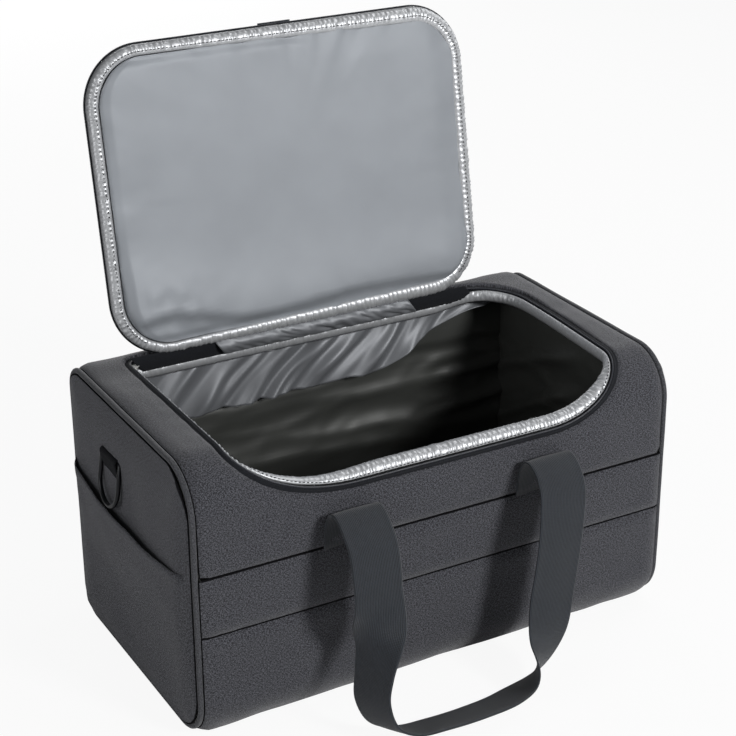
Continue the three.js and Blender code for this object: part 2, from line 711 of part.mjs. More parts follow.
// Handle loop: down from the crest, a quarter twist in each leg, and flat along the floor
const hangY = -halfDepth - handleHangReach;
const legTop = bendPoint[1] - legSettle;
const loopRoute = [[-handleHalfSpacing, ...alongBend(layerGap / 2)]];
for (const share of [0, 0.25, 0.5, 0.75, 1]) {
  loopRoute.push([
    -handleHalfSpacing - legSway * Math.sin((Math.PI * share * 2) / 3),
    hangY + legSettle * (1 - share) ** 4,
    THREE.MathUtils.lerp(legTop, loopCornerHeight, share ** 1.35),
  ]);
}
for (const share of [1 / 3, 1]) {
  loopRoute.push([
    -handleHalfSpacing + loopCornerRun * share,
    hangY - loopFloorReach * Math.sqrt(share),
    loopFloorHeight + loopCornerHeight * (1 - share) ** 4,
  ]);
}
loopRoute.push([0, hangY - loopFloorReach, loopFloorHeight]);
const loopCount = 52;
function handleLoop(side) {
  const half = loopRoute.map(([x, y, z]) => new THREE.Vector3(x, y, z));
  const mirrored = half.slice(0, -1).reverse().map((p) => new THREE.Vector3(-p.x, p.y, p.z));
  const curve = new THREE.CatmullRomCurve3([...half, ...mirrored], false, 'centripetal');
  const rings = Array.from({ length: loopCount + 1 }, (_, i) => {
    const share = i / loopCount;
    const centre = curve.getPointAt(share);
    const tangent = curve.getTangentAt(share);
    if (i === 0) tangent.set(0, ...bendAlong);
    if (i === loopCount) tangent.set(0, -bendAlong[0], -bendAlong[1]);
    const fromEnd = Math.min(share, 1 - share);
    const twist = quarter * THREE.MathUtils.smoothstep(fromEnd, twistFrom, twistTo);
    const turned = share < 0.5 ? twist : Math.PI - twist;
    const width = new THREE.Vector3(Math.cos(turned), Math.sin(turned), 0);
    width.addScaledVector(tangent, -width.dot(tangent)).normalize();
    const through = new THREE.Vector3().crossVectors(tangent, width);
    return bandSection.map(([a, b]) => {
      const p = centre.clone().addScaledVector(width, a).addScaledVector(through, b);
      return new THREE.Vector3(p.x, -side * p.y, p.z);
    });
  });
  return loft(rings, bandSection);
}

for (const [word, side] of [['front', -1], ['back', 1]]) {
  add(`handle_tab_${word}_left`, handleTab(-handleHalfSpacing, side), webbing);
  add(`handle_tab_${word}_right`, handleTab(handleHalfSpacing, side), webbing);
  add(`handle_${word}`, handleLoop(side), webbing);
}

// Ring tabs: webbing that rises out of the pocket and folds over the ring's bar
const tabMiddle = halfLength + layerGap + ringTabThickness / 2;
const foldRadius = ringWire / 2 + layerGap + ringTabThickness / 2;
const barX = tabMiddle + foldRadius;
const tabSection = boxSection(-ringTabWidth / 2, -ringTabThickness / 2, ringTabWidth / 2,
  ringTabThickness / 2);
function ringTab(side) {
  const route = [[tabMiddle, ringTabBottom], [tabMiddle, ringBarHeight - ringTabFold / 2]];
  for (let k = 0; k <= 8; k += 1) {
    const angle = Math.PI - (Math.PI * k) / 8;
    route.push([barX + foldRadius * Math.cos(angle), ringBarHeight + foldRadius * Math.sin(angle)]);
  }
  const doubled = tabMiddle + ringTabThickness + layerGap;
  route.push([barX + foldRadius - layerGap, ringBarHeight - ringTabFold / 5]);
  route.push([doubled + 2 * layerGap, ringBarHeight - (ringTabFold * 2) / 3]);
  route.push([doubled, ringBarHeight - ringTabFold]);
  const rings = route.map((p, i) => {
    const [before, after] = [route[Math.max(0, i - 1)], route[Math.min(route.length - 1, i + 1)]];
    const along = new THREE.Vector2(after[0] - before[0], after[1] - before[1]).normalize();
    return tabSection.map(([across, through]) => new THREE.Vector3(
      side * (p[0] - along.y * through),
      ringCentre + across,
      p[1] + along.x * through));
  });
  return loft(rings, tabSection);
}

// Rings: round wire with a straight bar and a half round below, tilted off the pocket
function dRing(side) {
  const half = ringTabWidth / 2 + ringWire / 2 + 1;
  const flat = half - ringCorner;
  const drop = ringDrop - half;
  const route = [[-flat, 0], [flat, 0]];
  const turnRound = (centreX, degrees) => {
    const angle = THREE.MathUtils.degToRad(degrees);
    route.push([centreX + ringCorner * Math.cos(angle), ringCorner * (Math.sin(angle) - 1)]);
  };
  for (const degrees of [60, 30]) turnRound(flat, degrees);
  for (let k = 0; k <= 12; k += 1) {
    const angle = (-Math.PI * k) / 12;
    route.push([half * Math.cos(angle), -drop + half * Math.sin(angle)]);
  }
  for (const degrees of [150, 120]) turnRound(-flat, degrees);
  const section = roundSection(0, 0, ringWire / 2, 8);
  const rings = route.map((p, i) => {
    const before = route[(i + route.length - 1) % route.length];
    const after = route[(i + 1) % route.length];
    const along = new THREE.Vector2(after[0] - before[0], after[1] - before[1]).normalize();
    return section.map(([a, b]) => (
      new THREE.Vector3(side * b, p[0] - along.y * a, p[1] + along.x * a)));
  });
  const geometry = loft(rings, section, true);
  geometry.rotateY(-side * THREE.MathUtils.degToRad(ringTilt));
  geometry.translate(side * barX, ringCentre, ringBarHeight);
  return geometry;
}
for (const [word, side] of [['left', -1], ['right', 1]]) {
  add(`ring_tab_${word}`, ringTab(side), webbing);
  add(`d_ring_${word}`, dRing(side), darkMetal);
}

// Zip slider: two shield plates joined by a post between the coils, under a bridge
function box(width, depth, height, x, y, z) {
  const geometry = new THREE.BoxGeometry(width, depth, height);
  geometry.translate(x, y, z);
  return geometry;
}
function shieldPlate(bottom) {
  const [nose, tail] = [sliderLength / 2, sliderWidth / 2];
  const outline = new THREE.Shape();
  outline.moveTo(-nose, -tail * 0.7);
  outline.quadraticCurveTo(0, -tail * 1.25, nose * 0.6, -tail);
  outline.lineTo(nose, -tail * 0.45);
  outline.lineTo(nose, tail * 0.45);
  outline.lineTo(nose * 0.6, tail);
  outline.quadraticCurveTo(0, tail * 1.25, -nose, tail * 0.7);
  outline.closePath();
  const geometry = new THREE.ExtrudeGeometry(outline, {
    depth: sliderPlate, bevelEnabled: false, curveSegments: 5 });
  geometry.translate(0, 0, bottom);
  return geometry;
}
const plateLow = tapeDepth + tapeThickness + layerGap;
const plateTop = layerGap + sliderPlate;
const bridgeRoom = pullThickness + 2 * pullPlay;
function zipSlider(side) {
  const postWidth = 2 * (zipHalfGap - layerGap);
  const postHeight = plateTop + plateLow + sliderPlate;
  const legHeight = bridgeRoom + bridgeBar + sliderPlate / 2;
  const legAt = plateTop - sliderPlate / 2 + legHeight / 2;
  const legReach = (bridgeSpan - bridgeBar) / 2;
  const pieces = [
    shieldPlate(layerGap),
    shieldPlate(-plateLow - sliderPlate),
    box(sliderLength / 3, postWidth, postHeight, sliderLength / 4, 0, plateTop - postHeight / 2),
    box(bridgeBar, bridgeBar, legHeight, 0, -legReach, legAt),
    box(bridgeBar, bridgeBar, legHeight, 0, legReach, legAt),
    box(bridgeBar, bridgeSpan, bridgeBar, 0, 0, plateTop + bridgeRoom + bridgeBar / 2),
  ];
  const geometry = geometryOf(pieces.map(solidOf).reduce((a, b) => a.add(b)));
  if (side < 0) geometry.rotateZ(Math.PI);
  geometry.translate(side * sliderPark, mouthRear, bodyHeight);
  return geometry;
}

// Pull: a tag whose cross bar lies under the slider's bridge, with the rear leg in its eye
function zipPull(side) {
  const [half, neck, bar] = [pullWidth / 2, pullWidth / 3, pullThickness];
  const outline = new THREE.Shape();
  outline.moveTo(-neck, -bar / 2);
  outline.lineTo(neck, -bar / 2);
  outline.lineTo(neck, pullLength / 4);
  outline.lineTo(half, pullLength - pullRound);
  outline.quadraticCurveTo(half, pullLength, 0, pullLength);
  outline.quadraticCurveTo(-half, pullLength, -half, pullLength - pullRound);
  outline.lineTo(-neck, pullLength / 4);
  outline.closePath();
  const eye = new THREE.Path();
  const eyeHalf = bridgeBar / 2 + pullPlay;
  eye.moveTo(-eyeHalf, bar / 2);
  eye.lineTo(-eyeHalf, bar / 2 + pullEyeLength);
  eye.lineTo(eyeHalf, bar / 2 + pullEyeLength);
  eye.lineTo(eyeHalf, bar / 2);
  eye.closePath();
  outline.holes.push(eye);
  const geometry = new THREE.ExtrudeGeometry(outline, {
    depth: pullThickness, bevelEnabled: false, curveSegments: 5 });
  geometry.translate(side * sliderPark, mouthRear - pullSetBack, bodyHeight + plateTop + pullPlay);
  return geometry;
}
for (const [word, side] of [['left', -1], ['right', 1]]) {
  add(`zip_slider_${word}`, zipSlider(side), darkMetal);
  add(`zip_pull_${word}`, zipPull(side), darkMetal);
}

export default bag;
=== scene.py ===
import math
import bpy
import bmesh
from mathutils import Matrix, Vector, noise


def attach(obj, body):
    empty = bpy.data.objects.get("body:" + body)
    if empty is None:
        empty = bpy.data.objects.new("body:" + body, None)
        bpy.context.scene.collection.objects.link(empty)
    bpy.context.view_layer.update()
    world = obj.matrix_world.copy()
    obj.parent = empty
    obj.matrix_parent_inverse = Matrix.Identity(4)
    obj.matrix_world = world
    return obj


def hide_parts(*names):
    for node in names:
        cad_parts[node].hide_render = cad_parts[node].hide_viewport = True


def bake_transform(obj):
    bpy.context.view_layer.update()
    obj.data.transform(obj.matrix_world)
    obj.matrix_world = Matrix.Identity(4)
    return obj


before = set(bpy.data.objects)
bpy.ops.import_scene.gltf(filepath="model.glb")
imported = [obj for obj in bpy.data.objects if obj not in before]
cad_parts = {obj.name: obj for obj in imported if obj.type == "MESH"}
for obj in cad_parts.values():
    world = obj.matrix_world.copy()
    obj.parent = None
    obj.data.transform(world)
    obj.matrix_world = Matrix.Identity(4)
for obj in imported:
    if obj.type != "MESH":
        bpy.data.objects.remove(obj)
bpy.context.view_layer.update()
mm = 0.001

# Photographer's table: a white sheet under the bag, large soft lamps round it,
# and a camera on a long lens, a little above the bag and to its left.
camera_yaw, camera_pitch, camera_roll = math.radians(-29.172), math.radians(24.155), math.radians(-0.332)
camera_distance = 1.8302
camera_target = Vector((-0.0012, 0.0, 0.2696))
back = Vector((math.sin(camera_yaw) * math.cos(camera_pitch),
               -math.cos(camera_yaw) * math.cos(camera_pitch), math.sin(camera_pitch)))
level = (-back).cross(Vector((0, 0, 1))).normalized()
upright = level.cross(-back)
right = level * math.cos(camera_roll) + upright * math.sin(camera_roll)
up = upright * math.cos(camera_roll) - level * math.sin(camera_roll)
camera_data = bpy.data.cameras.new("camera")
camera_data.sensor_width = 36
camera_data.lens = 90.573
camera = bpy.data.objects.new("camera", camera_data)
camera.matrix_world = Matrix.Translation(camera_target + back * camera_distance) @ Matrix(
    (right, up, back)).transposed().to_4x4()
bpy.context.scene.collection.objects.link(camera)
bpy.context.scene.camera = camera


def soft_lamp(name, place, size, power):
    """A square softbox that faces the bag."""
    data = bpy.data.lights.new(name, "AREA")
    data.shape = "SQUARE"
    data.size = size
    data.energy = power
    lamp = bpy.data.objects.new(name, data)
    lamp.location = place
    lamp.rotation_euler = (Vector((0, 0, 0.2)) - Vector(place)).to_track_quat("-Z", "Y").to_euler()
    bpy.context.scene.collection.objects.link(lamp)


soft_lamp("softbox_above", (1.1, 0.3, 1.5), 1.0, 8)
soft_lamp("softbox_left", (-2.7, -0.7, 1.0), 1.6, 25)
soft_lamp("softbox_front", (0.75, -2.4, 1.45), 0.55, 57)
soft_lamp("softbox_back", (0.6, 2.8, 1.0), 1.8, 28)
soft_lamp("softbox_right", (3.0, 0.6, 1.2), 1.6, 16)

world = bpy.data.worlds.new("studio")
bpy.context.scene.world = world
world.use_nodes = True
tree = world.node_tree
tree.nodes.clear()
room = tree.nodes.new("ShaderNodeBackground")
room.inputs["Color"].default_value = (0.93, 0.95, 1.0, 1)
room.inputs["Strength"].default_value = 0.08
seen = tree.nodes.new("ShaderNodeBackground")
seen.inputs["Color"].default_value = (1, 1, 1, 1)
seen.inputs["Strength"].default_value = 1.0
path = tree.nodes.new("ShaderNodeLightPath")
mixed = tree.nodes.new("ShaderNodeMixShader")
tree.links.new(path.outputs["Is Camera Ray"], mixed.inputs["Fac"])
tree.links.new(room.outputs[0], mixed.inputs[1])
tree.links.new(seen.outputs[0], mixed.inputs[2])
tree.links.new(mixed.outputs[0], tree.nodes.new("ShaderNodeOutputWorld").inputs["Surface"])
bpy.context.scene.view_settings.view_transform = "Standard"

table_mesh = bpy.data.meshes.new("table_sheet")
table_mesh.from_pydata([(-9, -9, 0), (9, -9, 0), (9, 14, 0), (-9, 14, 0)], [], [(0, 1, 2, 3)])
table_sheet = bpy.data.objects.new("table_sheet", table_mesh)
table_sheet.location.z = -0.0005
bpy.context.scene.collection.objects.link(table_sheet)
paper = bpy.data.materials.new("white_paper")
paper.use_nodes = True
tree = paper.node_tree
tree.nodes["Principled BSDF"].inputs["Base Color"].default_value = (0.75, 0.75, 0.75, 1)
tree.nodes["Principled BSDF"].inputs["Roughness"].default_value = 0.9
bright = tree.nodes.new("ShaderNodeEmission")
bright.inputs["Color"].default_value = (1, 1, 1, 1)
path = tree.nodes.new("ShaderNodeLightPath")
share = tree.nodes.new("ShaderNodeMath")
share.operation = "MULTIPLY"
share.inputs[1].default_value = 0.92
mixed = tree.nodes.new("ShaderNodeMixShader")
tree.links.new(path.outputs["Is Camera Ray"], share.inputs[0])
tree.links.new(share.outputs[0], mixed.inputs["Fac"])
tree.links.new(tree.nodes["Principled BSDF"].outputs[0], mixed.inputs[1])
tree.links.new(bright.outputs[0], mixed.inputs[2])
tree.links.new(mixed.outputs[0], tree.nodes["Material Output"].inputs["Surface"])
table_mesh.materials.append(paper)


# Outer cloth: heathered polyester canvas, a mid grey warp crossed by a darker weft, with short
# lighter slubs. The weave is drawn from each piece's own map, which is laid out in metres.
def effect(name, inputs, outputs):
    """An empty node group with its sockets."""
    group = bpy.data.node_groups.new(name, "ShaderNodeTree")
    for label, value in inputs.items():
        kind = "NodeSocketVector" if value is None else "NodeSocketFloat"
        socket = group.interface.new_socket(name=label, in_out="INPUT", socket_type=kind)
        if value is not None:
            socket.default_value = value
    for label, kind in outputs.items():
        group.interface.new_socket(name=label, in_out="OUTPUT", socket_type=kind)
    return group


def node(tree, kind, links=(), **settings):
    """A node with its settings, and its inputs fed from sockets or given values."""
    made = tree.nodes.new(kind)
    for key, value in settings.items():
        setattr(made, key, value)
    for key, value in dict(links).items():
        if isinstance(value, bpy.types.NodeSocket):
            tree.links.new(value, made.inputs[key])
        else:
            made.inputs[key].default_value = value
    return made


def maths(tree, operation, *values, clamp=False):
    """The result of a sum on sockets or given values."""
    made = node(tree, "ShaderNodeMath", dict(enumerate(values)), operation=operation, use_clamp=clamp)
    return made.outputs[0]


heather = effect("heather_weave", {"Map": None, "Thread": 0.0009, "Slub": 1.0},
                 {"Tone": "NodeSocketFloat", "Height": "NodeSocketFloat"})
ins = node(heather, "NodeGroupInput")
per_metre = maths(heather, "DIVIDE", 1.0, ins.outputs["Thread"])
threads = node(heather, "ShaderNodeVectorMath", {0: ins.outputs["Map"], "Scale": per_metre},
               operation="SCALE")
weft = node(heather, "ShaderNodeMapping", {"Vector": threads.outputs[0], "Scale": (0.5, 1.5, 1)})
slubs = node(heather, "ShaderNodeTexNoise", {"Vector": weft.outputs[0], "Scale": 1.0, "Detail": 4.0,
                                             "Roughness": 0.75})
warp = node(heather, "ShaderNodeMapping", {"Vector": threads.outputs[0], "Scale": (1.4, 0.5, 1)})
streaks = node(heather, "ShaderNodeTexNoise", {"Vector": warp.outputs[0], "Scale": 1.0, "Detail": 2.0,
                                               "Roughness": 0.6})
cross = maths(heather, "MULTIPLY_ADD", streaks.outputs["Fac"], 0.5, slubs.outputs["Fac"])
centred = maths(heather, "SUBTRACT", cross, 0.75)
strong = maths(heather, "MULTIPLY", centred, ins.outputs["Slub"])
apart = node(heather, "ShaderNodeSeparateXYZ", {0: threads.outputs[0]})
across = maths(heather, "MULTIPLY", apart.outputs[0], math.pi)
along = maths(heather, "MULTIPLY", apart.outputs[1], math.pi)
knit = maths(heather, "MULTIPLY", maths(heather, "SINE", across), maths(heather, "SINE", along))
node(heather, "NodeGroupOutput", {"Tone": maths(heather, "ADD", strong, 0.5, clamp=True),
                                  "Height": maths(heather, "ADD", knit, strong)})


def new_material(name):
    """An empty material with its tree and its shader."""
    material = bpy.data.materials.new(name)
    material.use_nodes = True
    return material, material.node_tree, material.node_tree.nodes["Principled BSDF"]


def set_tones(tree, shader, value, low, high, low_at=0.0, high_at=1.0):
    """Colours the shader by a value, from one colour to another."""
    tones = node(tree, "ShaderNodeValToRGB", {"Fac": value})
    tones.color_ramp.elements[0].color = (*low, 1)
    tones.color_ramp.elements[0].position = low_at
    tones.color_ramp.elements[1].color = (*high, 1)
    tones.color_ramp.elements[1].position = high_at
    tree.links.new(tones.outputs[0], shader.inputs["Base Color"])
    return tones


def set_relief(tree, shader, height, strength, distance):
    """Gives the shader a fine relief."""
    relief = node(tree, "ShaderNodeBump", {"Height": height, "Strength": strength, "Distance": distance})
    tree.links.new(relief.outputs[0], shader.inputs["Normal"])



def cloth_material(name, dark, mid, light, thread=0.0010, slub=2.9, bump=0.35, rough=0.92, sheen=0.25):
    """A woven cloth in three tones, darkest in its weft."""
    material, tree, shader = new_material(name)
    place = node(tree, "ShaderNodeUVMap", uv_map="weave")
    weave = node(tree, "ShaderNodeGroup", node_tree=heather)
    tree.links.new(place.outputs[0], weave.inputs["Map"])
    weave.inputs["Thread"].default_value = thread
    weave.inputs["Slub"].default_value = slub
    tones = set_tones(tree, shader, weave.outputs["Tone"], dark, light, 0.32, 0.70)
    tones.color_ramp.elements.new(0.5).color = (*mid, 1)
    set_relief(tree, shader, weave.outputs["Height"], bump, 0.0003)
    shader.inputs["Roughness"].default_value = rough
    shader.inputs["Specular IOR Level"].default_value = 0.25
    shader.inputs["Sheen Weight"].default_value = sheen
    shader.inputs["Sheen Roughness"].default_value = 0.5
    return material


canvas = cloth_material("heathered_canvas", (0.010, 0.010, 0.013), (0.040, 0.041, 0.047),
                        (0.100, 0.102, 0.118))
canvas_thick = 1.6 * mm


# Wrap: five panels of canvas with foam behind, sewn edge to edge round the bag. Each is laid out in
# (x, s), where s is the distance walked round the bag from the back of its flat top to the front.
length, depth, height = 520 * mm, 290 * mm, 280 * mm
front_top, back_top, back_bottom, front_bottom = 48 * mm, 28 * mm, 30 * mm, 45 * mm
half_depth = depth / 2
quarter = math.pi / 2
walk = [
    ("flat", (half_depth - back_top, height), math.pi, depth - front_top - back_top),
    ("round", (front_top - half_depth, height - front_top), quarter, front_top),
    ("flat", (-half_depth, height - front_top), -quarter, height - front_top - front_bottom),
    ("round", (front_bottom - half_depth, front_bottom), math.pi, front_bottom),
    ("flat", (front_bottom - half_depth, 0), 0, depth - front_bottom - back_bottom),
    ("round", (half_depth - back_bottom, back_bottom), -quarter, back_bottom),
    ("flat", (half_depth, back_bottom), quarter, height - back_bottom - back_top),
    ("round", (half_depth - back_top, height - back_top), 0, back_top),
]
starts = [0.0]
for kind, _, _, size in walk:
    starts.append(starts[-1] + (size * quarter if kind == "round" else size))
girth = starts[-1]


def round_bag(s):
    """Point of the wrap's outline and the direction out of the bag there, as (y, z, out_y, out_z)."""
    s %= girth
    i = max(k for k in range(len(walk)) if starts[k] <= s)
    kind, (y, z), turn, size = walk[i]
    run = s - starts[i]
    if kind == "round":
        a = turn + run / size
        return y + size * math.cos(a), z + size * math.sin(a), math.cos(a), math.sin(a)
    return y + run * math.cos(turn), z + run * math.sin(turn), math.sin(turn), -math.cos(turn)


def on_top(y):
    return half_depth - back_top - y


def on_front(z):
    return starts[2] + height - front_top - z


def on_base(y):
    return starts[4] + y + half_depth - front_bottom


def on_back(z):
    return starts[6] + z - back_bottom


def smooth(t):
    t = min(1.0, max(0.0, t))
    return t * t * (3 - 2 * t)


def rough_at(x, y, z, scale, seed=0.0):
    """Even noise from -1 to 1 at a place, with features of about the given size."""
    return noise.noise(Vector((x / scale + seed, y / scale - seed, z / scale + 2 * seed)))


wrap_end = 254.7 * mm
mouth_half, mouth_rear, mouth_front = 210 * mm, on_top(110 * mm), on_front(229 * mm)
pinch_corner = 72 * mm
seam_high, seam_low = on_front(175 * mm), on_front(115 * mm)
base_front, base_back = on_base(-98 * mm), on_base(113 * mm)
back_high = on_back(250 * mm) - girth


def mouth_gap(x, s):
    """Distance from the line round the mouth where the foam is pinched, a little rounder than the rim."""
    mid = (mouth_rear + mouth_front) / 2
    dx = abs(x) - (mouth_half - pinch_corner)
    ds = abs(s - mid) - ((mouth_front - mouth_rear) / 2 - pinch_corner)
    if dx > 0 and ds > 0:
        return math.hypot(dx, ds) - pinch_corner
    return max(dx, ds) - pinch_corner


def swell(x, s):
    """How far the foam pushes the canvas out, pinched at every seam, with soft dents and puckers."""
    lines = [seam_high, seam_low, base_front, base_back, back_high, back_high + girth]
    near = min(abs(s - line) for line in lines)
    edge = wrap_end - abs(x)
    near_mouth = -0.05 < s < 0.36
    rim = max(0.0, mouth_gap(x, s) - 7 * mm) if near_mouth else 1.0
    pinch = smooth(near / (9 * mm)) * smooth(edge / (12 * mm)) * (0.35 + 0.65 * smooth(rim / (14 * mm)))
    under = starts[4] - 20 * mm < s < starts[5] + 20 * mm
    push = 0.4 * mm if under else 2.6 * mm
    dents = 2.2 * mm * rough_at(x, s, 0, 90 * mm, 3) + 0.9 * mm * rough_at(x, s * 1.4, 0, 34 * mm, 7)
    pucker = 0.55 * mm * rough_at(x * 2.6, s * 0.5, 0, 26 * mm, 11) * math.exp(-near / (12 * mm))
    rim_pucker = 1.0 * mm * rough_at(x * 1.6, s * 1.2, 0, 24 * mm, 17) * math.exp(-rim / (12 * mm))
    corner = math.hypot((x + 172 * mm) / (42 * mm), (s - 312 * mm) / (34 * mm))
    rim_pucker += 2.3 * mm * rough_at(x * 1.5 + s * 0.5, s * 0.35, 0, 22 * mm, 19) * math.exp(-corner ** 2)
    if under:
        dents = pucker = rim_pucker = 0
    tuck = 1.3 * mm * math.exp(-near / (1.0 * mm)) + 2.4 * mm * math.exp(-max(edge, 0) / (1.4 * mm))
    lap = 0.9 * mm * smooth((s - seam_high + 9 * mm) / (4 * mm)) if 0 < s < seam_high else 0
    return pinch * (push + dents) + smooth(near / (3 * mm)) * (pucker + rim_pucker) + lap - tuck


def skin(x, s, out=0.0):
    """Place on the wrap, moved out from it."""
    y, z, oy, oz = round_bag(s)
    return Vector((x, y + oy * out, z + oz * out))


def mesh_piece(name, points, faces, uvs, material, thick=0.0, edge_shade=None, shaded_edge_faces=()):
    """A smooth mesh with its weave map in metres. A sheet is thickened away from its outer face.

    edge_shade is a near-black material of painted seam shade for its cut edge and for the faces listed in
    shaded_edge_faces. What rests on the floor is pressed flat by it."""
    mesh = bpy.data.meshes.new(name)
    lowest = 0.1 * mm + max(thick, 0)
    mesh.from_pydata([(p[0], p[1], max(p[2], lowest)) for p in points], [], faces)
    layer = mesh.uv_layers.new(name="weave")
    for loop in mesh.loops:
        layer.data[loop.index].uv = uvs[loop.vertex_index]
    for polygon in mesh.polygons:
        polygon.use_smooth = True
    mesh.materials.append(material)
    # Painted seam shade: the cut edge and the listed faces get the near-black material.
    if edge_shade:
        mesh.materials.append(edge_shade)
        for i in shaded_edge_faces:
            mesh.polygons[i].material_index = 1
    piece = bpy.data.objects.new(name, mesh)
    bpy.context.scene.collection.objects.link(piece)
    if thick:
        solid = piece.modifiers.new("thickness", "SOLIDIFY")
        solid.thickness = thick
        solid.offset = -1
        solid.use_rim = True
        solid.material_offset_rim = 1 if edge_shade else 0
        bake(piece)
    return piece


def bake(piece):
    """Applies a piece's modifiers."""
    bpy.context.view_layer.update()
    made = bpy.data.meshes.new_from_object(piece.evaluated_get(bpy.context.evaluated_depsgraph_get()))
    piece.modifiers.clear()
    piece.data = made


def grid_faces(rows, columns, round_again=False):
    """Quads of a grid of points, row by row. With round_again the last column joins the first."""
    last = columns if round_again else columns - 1
    return [(i * columns + j, i * columns + (j + 1) % columns, (i + 1) * columns + (j + 1) % columns,
             (i + 1) * columns + j) for i in range(rows - 1) for j in range(last)]


def flipped(faces):
    """The same faces, turned to their other side."""
    return [tuple(reversed(face)) for face in faces]


def spread(low, high, step):
    """Even values from low to high, about a step apart."""
    count = max(2, round((high - low) / step))
    return [low + (high - low) * k / count for k in range(count + 1)]


def plain_material(name, colour, rough, grain, bump):
    """A moulded or cut sheet material with a fine grain."""
    material, tree, shader = new_material(name)
    place = node(tree, "ShaderNodeTexCoord")
    cells = node(tree, "ShaderNodeTexNoise", {"Vector": place.outputs["Object"], "Scale": grain,
                                              "Detail": 3.0})
    set_tones(tree, shader, cells.outputs["Fac"], [c * 0.8 for c in colour],
              [min(1, c * 1.15) for c in colour])
    set_relief(tree, shader, cells.outputs["Fac"], bump, 0.0004)
    shader.inputs["Roughness"].default_value = rough
    return material


# Painted shade: a near-black material for the seams' grooves and the panels' turned edges, where shade falls.
seam_shade = plain_material("seam_binding", (0.005, 0.005, 0.006), 0.95, 900, 0.2)
seam_shade.node_tree.nodes["Principled BSDF"].inputs["Specular IOR Level"].default_value = 0.1


def wrap_panel(name, low, high, nodes):
    """A rectangular panel between two seams, its edges turned in at them. Its cut edge and outermost rows are
    in painted seam shade.
    """
    rows, columns = spread(low, high, 4.5 * mm), spread(-wrap_end, wrap_end, 5 * mm)
    edge_steps = (1.3 * mm, 2.6 * mm)
    first_rows, last_rows = [low + e for e in edge_steps], [high - e for e in reversed(edge_steps)]
    rows = rows[:1] + first_rows + rows[1:-1] + last_rows + rows[-1:]
    columns = columns[:1] + [-wrap_end + 1.0 * mm] + columns[1:-1] + [wrap_end - 1.0 * mm] + columns[-1:]
    points = [skin(x, s, swell(x, s)) for s in rows for x in columns]
    uvs = [(x, s) for s in rows for x in columns]
    across, along = len(columns) - 1, len(rows) - 1
    # The outermost rows of faces take the painted seam shade.
    edges = [i * across + j for i in range(along) for j in range(across)
             if i in (0, along - 1) or j in (0, across - 1)]
    piece = mesh_piece(name, points, grid_faces(len(rows), len(columns)), uvs, canvas, canvas_thick,
                       seam_shade, edges)
    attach(piece, "bag")
    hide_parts(*nodes)


hair = 0.42 * mm
wrap_panel("canvas_front_band", seam_high + hair, seam_low - hair, ["front_band"])
wrap_panel("canvas_front_lower", seam_low + hair, base_front - hair, ["front_lower_panel"])
wrap_panel("canvas_bottom", base_front + hair, base_back - hair, ["bottom_panel"])
wrap_panel("canvas_back", base_back + hair, back_high + girth - hair, ["back_panel"])


# Painted seam shade: the panels' edges are turned in at each seam, and a near-black strip behind it
# stands in for the shade in the groove, so that a dark line shows between two panels.
shade_strip_half, shade_strip_end, shade_strip_depth = 5 * mm, 252 * mm, 2.45 * mm
for name, line in (("high", seam_high), ("low", seam_low), ("base_front", base_front),
                   ("base_back", base_back), ("back", back_high)):
    rows = spread(line - shade_strip_half, line + shade_strip_half, 2.5 * mm)
    columns = spread(-shade_strip_end, shade_strip_end, 12 * mm)
    uvs = [(x, s) for s in rows for x in columns]
    piece = mesh_piece(f"seam_binding_{name}", [skin(x, s, -shade_strip_depth) for x, s in uvs],
                       grid_faces(len(rows), len(columns)), uvs, seam_shade, 0.5 * mm)
    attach(piece, "bag")


# Top panel: the wrap's largest piece, with the mouth cut out of it and the cut edge turned under
# and sewn to the zip. It is laid out as rings from the mouth to its own edge.
def rounded_line(half, low, high, corners, step, bow=0.0):
    """Points (x, s) of a rounded outline with the direction out of it, from the rear's middle by -x.

    corners are (rear left, front left, front right, rear right), each as (along x, along s). bow
    pushes the right side out between its middle and the rear, as a slack rim hangs."""
    line = []

    def straight(x0, s0, x1, s1):
        count = max(1, round(math.hypot(x1 - x0, s1 - s0) / step))
        line.extend((x0 + (x1 - x0) * k / count, s0 + (s1 - s0) * k / count) for k in range(count))

    def turn(cx, cs, reach, start):
        mean_reach = math.hypot(*reach) / 1.42
        count = max(5, round(mean_reach * quarter / step))
        for k in range(count):
            a = start - quarter * k / count
            line.append((cx + reach[0] * math.cos(a), cs + reach[1] * math.sin(a)))

    rl, fl, fr, rr = corners
    straight(0, low, -half + rl[0], low)
    turn(-half + rl[0], low + rl[1], rl, -quarter)
    straight(-half, low + rl[1], -half, high - fl[1])
    turn(-half + fl[0], high - fl[1], fl, math.pi)
    straight(-half + fl[0], high, half - fr[0], high)
    turn(half - fr[0], high - fr[1], fr, quarter)
    straight(half, high - fr[1], half, low + rr[1])
    turn(half - rr[0], low + rr[1], rr, 0)
    straight(half - rr[0], low, 0, low)
    line = [(x + bow * smooth((x - 0.6 * half) / (0.4 * half)) * smooth((high - s) / (0.75 * (high - low))),
             s) for x, s in line]
    out = []
    for i, (x, s) in enumerate(line):
        (x0, s0), (x1, s1) = line[i - 1], line[(i + 1) % len(line)]
        size = math.hypot(x1 - x0, s1 - s0)
        out.append((x, s, (s0 - s1) / size, (x1 - x0) / size))
    return out


def moved(line, offset):
    return [(x + ox * offset, s + os * offset, ox, os) for x, s, ox, os in line]


rim_front = 286 * mm
rim_corners = ((11 * mm, 13 * mm), (120 * mm, 64 * mm), (92 * mm, 72 * mm), (52 * mm, 60 * mm))
rim_bow = 9 * mm


def rim_line(step):
    return rounded_line(mouth_half, mouth_rear, rim_front, rim_corners, step, rim_bow)


mouth_line = rim_line(5 * mm)
panel_low, panel_high = back_high + hair, seam_high - hair
mid_s = (mouth_rear + mouth_front) / 2


